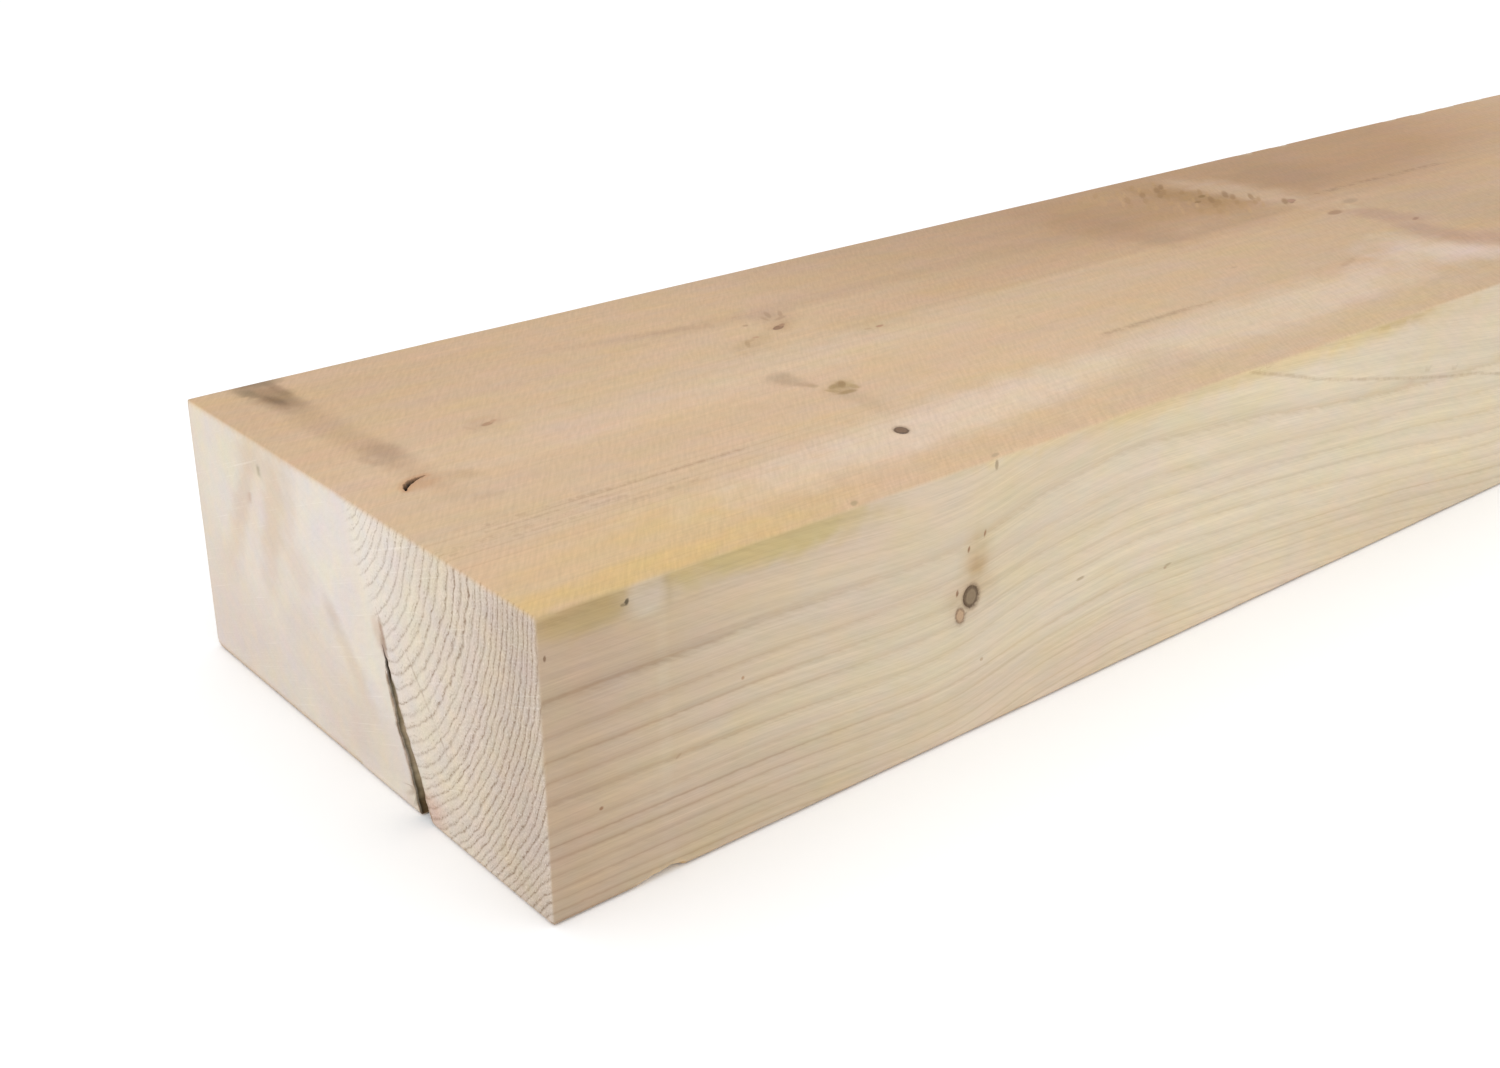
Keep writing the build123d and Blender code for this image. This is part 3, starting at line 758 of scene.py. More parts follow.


# ---------------------------------------------------------------------------
# colour of the bare wood, before grain: broad tones and stains, with some painted shade, shadows and a highlight
# among them
# ---------------------------------------------------------------------------
# face, place, half sizes, turn, display colour, strength, softness, raggedness
STAINS_AND_PAINTED_LIGHT = [
    # --- photographed end
    (NX, 97, 55, 15, 20, 0, (236, 228, 219), 0.80, 0.60, 0.30),
    (NX, 84, 46, 7, 10, 0, (233, 223, 212), 0.50, 0.60, 0.25),
    (NX, 161, 56, 9, 13, 0, (236, 229, 214), 0.60, 0.65, 0.25),
    (NX, 133, 69, 12, 5, -6, (228, 212, 190), 0.45, 0.60, 0.35),
    (NX, 144, 55, 4.4, 20, 28, (219, 196, 173), 0.55, 0.60, 0.30),
    (NX, 126, 56, 5.6, 22, 16, (220, 197, 173), 0.60, 0.60, 0.30),
    (NX, 136, 55, 2.2, 16, 19, (234, 220, 203), 0.60, 0.60, 0.30),
    (NX, 136, 70, 9, 4, 0, (220, 203, 180), 0.45, 0.65, 0.30),
    (NX, 113, 46, 8, 6, 20, (222, 202, 184), 0.35, 0.65, 0.30),
    (NX, 158, 32, 8, 6, -20, (229, 211, 192), 0.45, 0.65, 0.30),
    (NX, 150, 66, 7, 9, 10, (232, 224, 202), 0.45, 0.65, 0.30),
    (NX, 140, 9, 34, 9, 0, (223, 213, 205), 0.50, 0.70, 0.30),
    (NX, 94, 12, 12, 10, 0, (222, 206, 186), 0.35, 0.70, 0.30),
    (NX, 139.4, 57, 1.0, 1.8, 20, (206, 166, 140), 0.50, 0.6, 0.2),
    (NX, 131.2, 66.9, 0.8, 1.8, -25, (164, 152, 124), 0.65, 0.5, 0.2),
    (NX, 132.2, 72.5, 0.5, 2.0, 0, (196, 176, 144), 0.5, 0.5, 0.2),
    (NX, 89, 31, 14, 2.8, 47, (212, 190, 170), 0.42, 0.70, 0.25),
    (NX, 96, 39, 4, 2.4, 20, (210, 194, 176), 0.35, 0.70, 0.25),
    (NX, 106, 24, 22, 13, 20, (223, 208, 193), 0.50, 0.65, 0.30),
    (NX, 116, 62, 4, 12, 14, (222, 204, 182), 0.45, 0.65, 0.35),
    (NX, 80, 14, 12, 12, 30, (220, 204, 186), 0.50, 0.65, 0.30),
    (NX, 152, 14, 20, 14, 0, (227, 213, 201), 0.60, 0.65, 0.25),
    # painted shadow: a soft pinkish-brown line at the upper end of the crack
    (NX, 71.5, 43.5, 2.4, 4.2, -20, (218, 194, 176), 0.60, 0.60, 0.20),
    (NX, 69.6, 40.5, 1.1, 3.4, -20, (176, 148, 128), 0.75, 0.60, 0.20),
    (NX, 69.9, 44.2, 0.7, 2.6, -20, (198, 168, 148), 0.60, 0.60, 0.20),
    # painted shade: the end darker along its near narrow edge
    (NX, 6, 66, 10, 10, 0, (196, 180, 166), 0.55, 0.65, 0.20),
    (NX, 8, 26, 12, 30, 0, (198, 182, 165), 0.40, 0.70, 0.20),
    (NX, 51.5, 4, 5, 4, 0, (208, 160, 138), 0.50, 0.7, 0.3),
    (NX, 56, 3, 2.4, 5, -20, (170, 140, 116), 0.45, 0.7, 0.3),
    # --- near narrow face
    (NY, 10.5, 72.2, 12.0, 4.8, -4, (178, 154, 104), 0.80, 0.45, 0.25),
    (NY, 62, 72.8, 30, 4.4, -2, (194, 173, 117), 0.78, 0.50, 0.30),
    (NY, 27.6, 71.0, 4.4, 5.0, 0, (203, 190, 172), 0.60, 0.40, 0.25),
    (NY, 33.4, 71.0, 1.0, 4.5, 0, (174, 156, 124), 0.35, 0.5, 0.2),
    (NY, 31.5, 38, 1.6, 40, 0, (205, 190, 170), 0.20, 0.6, 0.15),
    # a yellowish band along the top arris: partly yellow wood, partly a painted highlight
    (NY, 236, 73.4, 94, 2.7, -0.6, (214, 190, 138), 0.70, 0.50, 0.30),
    (NY, 315, 73.9, 17, 1.5, 0, (196, 170, 112), 0.60, 0.50, 0.30),
    (NY, 172, 70.0, 34, 4.0, 5, (208, 184, 150), 0.40, 0.65, 0.30),
    (NY, 321.6, 50.4, 1.1, 2.8, 8, (202, 172, 148), 0.50, 0.60, 0.20),
    (NY, 318.8, 52.0, 1.8, 0.8, 0, (206, 178, 154), 0.40, 0.60, 0.20),
    (NY, 196, 58.8, 22, 1.3, 2, (196, 176, 148), 0.35, 0.80, 0.40),
    (NY, 129.2, 48.8, 4.2, 7.0, -8, (190, 160, 114), 0.62, 0.75, 0.30),
    (NY, 129.0, 47.2, 2.6, 2.0, 10, (176, 144, 98), 0.45, 0.75, 0.30),
    (NY, 124.0, 39.5, 5.0, 5.0, 0, (190, 164, 136), 0.38, 0.70, 0.25),
    (NY, 133.0, 40.5, 3.6, 4.0, 0, (192, 168, 142), 0.32, 0.70, 0.25),
    (NY, 90, 55.5, 34, 3.2, -1.5, (216, 200, 178), 0.35, 0.7, 0.25),
    (NY, 205, 63.5, 60, 7, 3, (220, 204, 178), 0.4, 0.7, 0.25),
    (NY, 40, 10, 60, 12, 0, (186, 162, 136), 0.45, 0.75, 0.25),
    (NY, 150, 9, 60, 9, 0, (206, 184, 158), 0.40, 0.75, 0.25),
    (NY, 260, 40, 90, 24, -6, (219, 203, 176), 0.35, 0.75, 0.25),
    (NY, 274, 60, 30, 7, -8, (226, 211, 188), 0.50, 0.75, 0.30),
    (NY, 330, 8, 60, 10, -4, (204, 184, 154), 0.40, 0.75, 0.25),
    # --- photographed wide face
    (PZ, 34, 12, 44, 12, 0, (219, 188, 138), 0.60, 0.75, 0.35),
    (PZ, 30, 5, 50, 5, 0, (222, 188, 118), 0.60, 0.70, 0.35),
    (PZ, 62, 24, 22, 7, -4, (220, 188, 128), 0.42, 0.70, 0.45),
    (PZ, 135, 9, 70, 7, 0, (216, 186, 146), 0.40, 0.75, 0.35),
    (PZ, 50, 60, 110, 11, 0, (207, 179, 147), 0.35, 0.75, 0.30),
    (PZ, 60, 88, 60, 10, 0, (220, 193, 166), 0.45, 0.75, 0.30),
    (PZ, 150, 28, 78, 11, 2, (227, 206, 182), 0.72, 0.60, 0.25),
    (PZ, 290, 30, 84, 13, 0, (220, 200, 176), 0.72, 0.60, 0.25),
    (PZ, 150, 90, 44, 9, 0, (219, 195, 166), 0.40, 0.75, 0.30),
    (PZ, 215, 17, 22, 8, 0, (206, 181, 150), 0.40, 0.75, 0.35),
    # a dark patch at the far edge with a brown band running from it towards the middle: the band is a painted
    # shadow
    (PZ, 19.5, 130, 5.0, 52, 2, (190, 158, 127), 0.55, 0.65, 0.25),
    (PZ, 18.8, 161, 4.8, 15, 4, (152, 122, 90), 0.72, 0.60, 0.40),
    (PZ, 17.6, 157.5, 1.8, 5.0, 12, (112, 84, 58), 0.60, 0.65, 0.35),
    (PZ, 22.4, 166, 1.6, 8.0, 0, (138, 108, 78), 0.50, 0.65, 0.35),
    (PZ, 14.0, 168, 2.2, 5.0, 10, (130, 112, 84), 0.60, 0.60, 0.35),
    (PZ, 20.0, 173, 6.0, 2.6, 0, (128, 108, 82), 0.55, 0.60, 0.35),
    (PZ, 21.5, 103, 4.0, 8.5, -6, (172, 140, 110), 0.50, 0.65, 0.40),
    (PZ, 15.5, 100, 1.4, 4, 10, (172, 138, 108), 0.35, 0.60, 0.35),
    # painted shadow below the torn slit
    (PZ, 18.5, 78.5, 5.0, 2.6, 22, (190, 146, 112), 0.50, 0.65, 0.25),
    (PZ, 29, 77.5, 4.2, 3.2, -40, (184, 154, 124), 0.40, 0.65, 0.3),
    (PZ, 27, 62, 4.0, 1.5, 0, (186, 154, 120), 0.30, 0.65, 0.3),
    (PZ, 150, 134, 26, 3.2, -9, (186, 154, 124), 0.22, 0.75, 0.45),
    (PZ, 240, 134, 80, 5.5, 0, (188, 156, 126), 0.40, 0.70, 0.40),
    (PZ, 262, 160, 90, 22, 0, (194, 164, 132), 0.35, 0.70, 0.25),
    (PZ, 133.5, 80, 3.8, 5.4, -22, (176, 150, 120), 0.62, 0.60, 0.40),
    # painted shadow below the knot
    (PZ, 138.5, 53, 4.0, 10, -4, (188, 162, 132), 0.42, 0.75, 0.30),
    (PZ, 140.5, 63.6, 5.0, 4.0, 20, (180, 152, 100), 0.62, 0.55, 0.45),
    (PZ, 141.5, 66.4, 3.6, 1.4, 24, (150, 122, 76), 0.50, 0.65, 0.45),
    (PZ, 135, 72, 1.8, 2.2, 30, (168, 140, 108), 0.50, 0.65, 0.40),
    (PZ, 118, 139.6, 20, 2.2, -12, (182, 152, 122), 0.26, 0.80, 0.45),
    (PZ, 136, 136, 10, 2.0, -16, (176, 146, 116), 0.30, 0.80, 0.45),
    (PZ, 52, 104, 5.5, 3.6, 20, (188, 156, 128), 0.35, 0.75, 0.40),
    (PZ, 168.5, 127, 7.0, 6.0, 20, (182, 150, 120), 0.45, 0.70, 0.45),
    (PZ, 165, 118.5, 6.0, 3.0, 25, (176, 140, 110), 0.38, 0.70, 0.40),
    (PZ, 147, 110.5, 8.0, 3.6, 24, (188, 160, 118), 0.46, 0.70, 0.45),
    (PZ, 188, 104, 12, 9, 0, (196, 168, 124), 0.28, 0.75, 0.35),
    (PZ, 336, 124, 13, 24, -8, (180, 145, 114), 0.50, 0.60, 0.40),
    (PZ, 376, 144, 24, 22, 14, (178, 143, 102), 0.55, 0.65, 0.45),
    (PZ, 388, 142, 9, 20, 20, (158, 121, 72), 0.50, 0.70, 0.55),
    (PZ, 390, 124, 16, 9, 30, (176, 140, 96), 0.55, 0.60, 0.45),
    (PZ, 366, 104, 36, 6, 2, (176, 144, 112), 0.45, 0.70, 0.40),
    (PZ, 330, 107, 6, 7, 8, (170, 142, 112), 0.30, 0.70, 0.40),
    (PZ, 411, 132, 11, 30, 8, (204, 176, 150), 0.62, 0.55, 0.35),
    (PZ, 446, 141, 23, 22, 0, (172, 138, 106), 0.66, 0.55, 0.35),
    (PZ, 440, 90, 18, 18, 0, (200, 172, 144), 0.40, 0.70, 0.35),
    (PZ, 419, 76, 7.5, 14, 24, (182, 148, 122), 0.62, 0.55, 0.35),
    (PZ, 411, 50, 8.5, 18, -8, (184, 150, 126), 0.66, 0.50, 0.35),
    (PZ, 428, 22, 10, 22, 44, (186, 150, 126), 0.62, 0.55, 0.35),
    (PZ, 384, 42, 16, 13, 24, (219, 200, 183), 0.62, 0.70, 0.50),
    (PZ, 393, 30, 9, 9, 10, (222, 200, 184), 0.50, 0.60, 0.40),
    (PZ, 410, 13, 9, 20, 44, (224, 200, 186), 0.55, 0.60, 0.35),
    (PZ, 419.8, 91.4, 3.6, 2.0, 20, (216, 192, 162), 0.60, 0.60, 0.35),
    (PZ, 250, 48.4, 20, 1.2, 0, (176, 150, 120), 0.40, 0.80, 0.60),
    (PZ, 300, 9, 70, 6, 0, (212, 186, 146), 0.50, 0.75, 0.45),
    (PZ, 226, 22, 9, 9, 0, (206, 178, 150), 0.40, 0.75, 0.45),
    (PZ, 332, 144, 17, 26, -10, (174, 138, 102), 0.55, 0.70, 0.45),
    (PZ, 352, 160, 22, 9, 0, (186, 152, 112), 0.35, 0.70, 0.40),
    (PZ, 455, 60, 24, 22, 20, (190, 162, 132), 0.65, 0.70, 0.35),
    (PZ, 396, 30, 12, 16, 30, (222, 200, 186), 0.35, 0.60, 0.35),
]


def spot(a, b, s):
    _, ca, cb, ra, rb, turn, _, strength, soft, rag = s
    t = math.radians(turn)
    u, v = a - ca, b - cb
    u, v = ((u * math.cos(t) + v * math.sin(t)) / ra,
            (-u * math.sin(t) + v * math.cos(t)) / rb)
    p, q = a * 0.83 + b * 0.55, b * 0.83 - a * 0.55
    big, small = 0.42 * min(ra, rb) + 0.8, 0.16 * min(ra, rb) + 0.5
    e = np.hypot(u, v) + rag * (0.75 * noise(p / (1.5 * big), q / big, ca, 71)
                                + 0.45 * noise(p / (1.8 * small), q / small, ca, 72))
    return strength * step(1 + soft, 1 - soft, e)


# how much light each face gets in the studio, taken out of its colour
FACE_GAIN = {
    NX: np.array([0.790, 0.770, 0.755]), PX: np.array([0.790, 0.770, 0.755]),
    NY: np.array([0.842, 0.835, 0.828]), PY: np.array([0.842, 0.835, 0.828]),
    PZ: np.array([0.805, 0.797, 0.790]), NZ: np.array([0.805, 0.797, 0.790]),
}


def face_tone(face, a, b):
    """Linear colour of a face at (a, b)."""
    n = len(a)
    if face in (NX, PX):
        # the end is darker towards the near narrow face: painted shade from the way the light falls; the far end
        # takes the same table
        ys = [0, 12, 30, 50, 75, 175]
        cs = lin([(206, 190, 173), (206, 190, 174), (219, 205, 188), (227, 216, 201),
                  (236, 228, 218), (232, 221, 208)])
        at = a if face == NX else 60 + a * 0.6
        t = np.stack([np.interp(at, ys, cs[:, i]) for i in range(3)], -1)
        cool = 0.5 + 0.5 * noise(a / 24, b / 20, 2.2, 81)
        t *= 1 + (cool * 0.06 - 0.03)[:, None] * np.array([0.8, 1.0, 1.3])
        # painted highlight: the end lighter along all its edges, where the worn arrises catch the light
        rim = np.exp(-np.minimum(np.minimum(a, LY - a), np.minimum(b, LZ - b)) / 1.4)
        t = t * (1 - 0.25 * rim[:, None]) + 0.25 * rim[:, None] * lin((244, 234, 220))
        # painted warm highlight along the top edge of the end
        warm_edge_highlight = np.exp(-(LZ - b) / 0.7)[:, None] * 0.85
        t = t * (1 - warm_edge_highlight) + warm_edge_highlight * lin((236, 208, 168))
    elif face in (NY, PY):
        t0, t1 = lin((186, 164, 139)), lin((220, 205, 179))
        k = 1 - np.exp(-a / 62.0) if face == NY else 0.75 + 0 * a
        k = k + step(420, 700, a) * (0.62 - k) + 0.22 * noise(a / 170, b / 60, 3.1, 82)
        k = np.clip(k, 0, 1)[:, None]
        t = t0 * (1 - k) + t1 * k
        pink = (0.5 + 0.5 * noise(a / 95, b / 9, 4.4, 83))[:, None]
        t = t * (1 + (pink - 0.5) * np.array([0.05, -0.03, -0.06]))
    else:
        t = np.tile(lin((216, 186, 152)), (n, 1))
        # browner towards the far long edge and further along the plank: partly the wood's own colour, partly
        # painted shade
        brown_and_shade = step(60, 175, b) * 0.30
        brown_and_shade = brown_and_shade + step(150, 240, a) * 0.20 * step(99.5, 101.5, b)
        brown_and_shade = brown_and_shade + step(200, 400, a) * 0.42 * step(100, 140, b)
        brown_and_shade = brown_and_shade + step(130, 480, a) * 0.46
        if face == PZ:
            far = step(450, 700, a)
            brown_and_shade = brown_and_shade * (1 - far) + far * (0.30 + 0.25 * noise(a / 230, b / 60, 5.5, 84))
        else:
            brown_and_shade = 0.25 + 0.25 * noise(a / 230, b / 50, 5.9, 84)
        brown_and_shade = np.clip(brown_and_shade, 0, 1)[:, None]
        t = t * (1 - brown_and_shade) + brown_and_shade * lin((184, 148, 112))
        pink = (noise(a / 120, b / 14, 6.4, 85))[:, None]
        t = t * (1 + pink * np.array([0.03, -0.012, -0.04]))
    for s in STAINS_AND_PAINTED_LIGHT:
        if s[0] != face:
            continue
        reach = 1.9
        m = (np.abs(a - s[1]) < reach * max(s[3], s[4]) + 4) & (np.abs(b - s[2]) < reach * max(s[3], s[4]) + 4)
        if m.any():
            k = spot(a[m], b[m], s)[:, None]
            t[m] = t[m] * (1 - k) + k * lin(s[6])
    return t * FACE_GAIN[face]


# ---------------------------------------------------------------------------
# make the plank
# ---------------------------------------------------------------------------
def build_plank():
    S, T, F = block()
    q, R, d, L = directions(S)
    p = q + d / L[:, None] * R
    n = d / L[:, None]
    n = n / np.linalg.norm(n, axis=1)[:, None]
    p = p - n * relief(S, n)[:, None]
    me = bpy.data.meshes.new("timber_plank")
    me.from_pydata((p * 0.001).tolist(), [], T.tolist())
    me.update()
    at = me.attributes.new("chart", "INT", "FACE")
    at.data.foreach_set("value", F.astype(np.int32))
    ob = bpy.data.objects.new("timber_plank", me)
    bpy.context.scene.collection.objects.link(ob)
    cutters = [crack_cutter(), chip_cutter()]
    for c in cutters:
        m = ob.modifiers.new(c.name, "BOOLEAN")
        m.operation, m.object, m.solver = "DIFFERENCE", c, "EXACT"
    bpy.context.view_layer.update()
    dg = bpy.context.evaluated_depsgraph_get()
    cut = bpy.data.meshes.new_from_object(ob.evaluated_get(dg))
    ob.modifiers.clear()
    ob.data = cut
    cut.name = "timber_plank"
    for c in cutters:
        bpy.data.objects.remove(c)
    return ob


def clean(ob):
    """Triangles only, nothing loose, no slivers left by the cut."""
    import bmesh
    bm = bmesh.new()
    bm.from_mesh(ob.data)
    bmesh.ops.remove_doubles(bm, verts=bm.verts, dist=2e-6)
    bmesh.ops.dissolve_degenerate(bm, edges=bm.edges, dist=2e-6)
    bmesh.ops.triangulate(bm, faces=[f for f in bm.faces if len(f.verts) > 3])
    loose = [v for v in bm.verts if not v.link_faces]
    bmesh.ops.delete(bm, geom=loose, context="VERTS")
    open_edges = sum(1 for e in bm.edges if len(e.link_faces) != 2)
    bmesh.ops.recalc_face_normals(bm, faces=bm.faces)
    vol = bm.calc_volume()
    bm.to_mesh(ob.data)
    bm.free()
    print("plank: verts", len(ob.data.vertices), "tris", len(ob.data.polygons),
          "open edges", open_edges, "volume mm3", round(vol * 1e9))


def chart_uv(chart, x, y, z):
    """Place on the texture sheet, in pixels of 1024.  Long faces are laid out
    finer towards the photographed end."""
    def along(v):
        return np.interp(v, [0, 60, 200, 450, 2400], [0, 108, 318, 560, 1000])
    gap = 8.0
    if chart == NX:
        return gap + y * 3.36, gap + z * 3.36
    if chart == PX:
        return 612 + (LY - y) * 1.42, gap + z * 1.42
    if chart == WALL_L:
        return 612 + np.minimum(x, 170) * 1.42, 128 + z * 1.3
    if chart == WALL_R:
        return 612 + np.minimum(x, 170) * 1.42, 194 + z * 1.3
    if chart == CHIP:
        return 880 + (x - 14) * 3.0, 140 + np.clip(y, 0, 9) * 4.0 + z * 3.0
    u = gap + along(x)
    if chart == PZ:
        return u, 272 + y * 1.72
    if chart == NY:
        return u, 586 + z * 2.1
    if chart == NZ:
        return u, 756 + y * 0.93
    return u, 930 + z * 1.08


def finish_plank(ob):
    me = ob.data
    nv, nf = len(me.vertices), len(me.polygons)
    P = np.zeros(nv * 3)
    me.vertices.foreach_get("co", P)
    P = P.reshape(-1, 3) * 1000.0
    tri = np.zeros(nf * 3, np.int32)
    me.loops.foreach_get("vertex_index", tri)
    tri = tri.reshape(-1, 3)
    chart = np.zeros(nf, np.int32)
    me.attributes["chart"].data.foreach_get("value", chart)
    x, y, z = P.T

    # which way each point faces
    q, R, d, L = directions(P)
    w = d / np.maximum(np.linalg.norm(d, axis=1), 1e-9)[:, None]
    inner = chart >= WALL_L
    wall = np.zeros(nv)
    outer = np.zeros(nv)
    np.add.at(wall, tri[inner].ravel(), 1)
    np.add.at(outer, tri[~inner].ravel(), 1)
    wall = np.where(outer == 0, 1.0, np.where(wall > 0, 0.45, 0.0))
    for face, axis, sign in ((NX, 0, -1), (PX, 0, 1), (NY, 1, -1), (PY, 1, 1), (NZ, 2, -1), (PZ, 2, 1)):
        on = np.zeros(nv, bool)
        on[tri[chart == face].ravel()] = True
        deep = on & (L < 0.6)
        w[deep] = 0
        w[deep, axis] = sign

    # broad colour
    tone = np.zeros((nv, 3))
    total = np.zeros(nv)
    for face, axis, sign in ((NX, 0, -1), (PX, 0, 1), (NY, 1, -1), (PY, 1, 1), (NZ, 2, -1), (PZ, 2, 1)):
        wt = np.clip(w[:, axis] * sign, 0, 1) ** 2
        m = wt > 0.02
        a, b = (y, z) if axis == 0 else (x, z) if axis == 1 else (x, y)
        tone[m] += wt[m, None] * face_tone(face, a[m], b[m])
        total += np.where(m, wt, 0)
    tone /= np.maximum(total, 1e-6)[:, None]
    tone[total < 0.02] = lin((150, 122, 88))
    endg = np.clip(w[:, 0] ** 2 * 1.6 - 0.3, 0, 1) * (wall < 0.9)

    # slit in the top face: its inside painted near black as shade, and a painted reddish-brown shadow round it
    top = (w[:, 2] > 0.4) & (x < 30) & (y > 68) & (y < 92)
    sd = slit_depth(x[top], y[top])
    k = step(0.35, -0.25, sd)[:, None]
    tone[top] = tone[top] * (1 - k) + k * lin((48, 30, 18))
    k = (0.45 * step(2.2, 0.2, sd) * (sd > 0))[:, None]
    tone[top] = tone[top] * (1 - k) + k * lin((176, 128, 92))

    # thin lines of darker wood
    vd, vk, vb = np.full(nv, 4.0), np.zeros(nv), np.zeros(nv)
    for face in (NX, NY, PZ):
        on, a, b = on_face(face, P, w)
        vd[on], vk[on], vb[on] = vein_distance(face, a[on], b[on])

    # walls of the crack and the chip; the crack walls are painted darker deeper in, at the very mouth, at the
    # narrow upper tip and at the foot: painted shade
    inside = wall > 0.3
    streak = 0.5 + 0.5 * noise(x / 22, y / 1.2, z / 1.2, 91)
    dab = 0.5 + 0.5 * noise(x / 3.0, y / 1.0, z / 1.5, 92)
    # painted shade: the crack walls darker with depth in from the end
    crack_depth_shade = np.interp(x, [0.0, 0.6, 1.3, 2.2, 3.4, 5.0, 7.0, 40, 90],
                    [0.34, 0.30, 0.80, 1.05, 0.85, 0.45, 0.28, 0.20, 0.12])
    wood = lin((196, 178, 146)) * (crack_depth_shade * (0.60 + 0.5 * streak + 0.5 * dab))[:, None]
    # painted shade: darker at the crack's narrow upper tip and at its foot
    brown_and_shade = (1 - step(34.0, 29.0, z) * step(1.0, 15.0, z + 2.5 * dab))[:, None]
    wood = wood * (1 - 0.84 * brown_and_shade * np.array([0.94, 1.0, 1.05]))
    chipw = lin((206, 178, 142)) * (0.88 + 0.2 * streak)[:, None]
    in_crack = (x < 200) & (y > 40) & (y < 80)
    wood = np.where(in_crack[:, None], wood, chipw)
    tone = np.where(inside[:, None], tone * (1 - wall[:, None]) + wood * wall[:, None], tone)

    # rings, knots
    ring = ring_number(x, y, z)
    show = np.ones(nv)
    side_show = 0.92 - 0.44 * step(30, 110, x) + 0.22 * step(450, 700, x)
    show = np.where(w[:, 1] < -0.4, side_show, show)
    topw = w[:, 2] > 0.4
    show[topw] = 0.12 + 0.36 * step(52, 46, y[topw]) * step(26, 33, y[topw]) * step(190, 80, x[topw])
    show[topw] += 0.22 * step(450, 800, x[topw])
    show[w[:, 2] < -0.4] = 0.6
    near_end = (w[:, 0] < -0.4)
    show[near_end] = end_ring_show(y[near_end], z[near_end])
    show[w[:, 0] > 0.4] = 0.75
    show = show * (1 - wall)

    kd = np.full(nv, 4.0)
    krim = np.zeros(nv)
    kcol = np.zeros((nv, 4))
    kcol[:, :3] = tone
    for kn in KNOTS:
        on, a, b = on_face(kn[0], P, w)
        m = np.where(on & (np.abs(a - kn[1]) < 3.2 * kn[3] + 3) & (np.abs(b - kn[2]) < 3.2 * kn[4] + 3))[0]
        if not len(m):
            continue
        u, v = knot_frame(kn, a[m], b[m])
        s = np.hypot(u, v)
        better = s < kd[m]
        i = m[better]
        kd[i] = s[better]
        krim[i] = kn[8]
        kcol[i, :3] = lin(kn[6])
        kcol[i, 3] = kn[7]
    far = kd > 2.6
    kcol[far, 3] = 0
    krim[far] = 0

    grain = np.stack([x, y + 2.2 * noise(x / 210, 0.3, 0.9, 95) * step(0, 200, x),
                      z - side_drift(x) * np.exp(-((y / 26.0) ** 2))], -1)

    # out to metres in the shared frame
    me.vertices.foreach_set("co", ((P - np.array([LX / 2, LY / 2, 0.0])) * 0.001).ravel())

    def point(name, kind, values):
        at = me.attributes.get(name) or me.attributes.new(name, kind, "POINT")
        at.data.foreach_set({"FLOAT": "value", "FLOAT_VECTOR": "vector",
                             "FLOAT_COLOR": "color"}[kind], np.asarray(values, np.float32).ravel())

    point("ring", "FLOAT", ring)
    point("show", "FLOAT", show)
    point("endg", "FLOAT", endg)
    point("wall", "FLOAT", wall)
    point("kd", "FLOAT", np.minimum(kd, 4))
    point("krim", "FLOAT", krim)
    point("kcol", "FLOAT_COLOR", kcol)
    point("tone", "FLOAT_COLOR", np.column_stack([tone, np.ones(nv)]))
    point("grain", "FLOAT_VECTOR", grain)
    point("vein", "FLOAT_VECTOR", np.column_stack([vd, vk, vb]))
    point("wide", "FLOAT", step(0.35, 0.75, np.abs(w[:, 2])) * (1 - wall))

    uv = me.uv_layers.new(name="OFBake")
    c = P[tri]
    out = np.zeros((nf, 3, 2))
    for ch in range(9):
        m = chart == ch
        if m.any():
            u, v = chart_uv(ch, c[m, :, 0], c[m, :, 1], c[m, :, 2])
            out[m, :, 0], out[m, :, 1] = u / 1024.0, v / 1024.0
    uv.data.foreach_set("uv", out.ravel().astype(np.float32))
    me.attributes.remove(me.attributes["chart"])
    me.shade_smooth()
    me.set_sharp_from_angle(angle=math.radians(38))
    me.update()


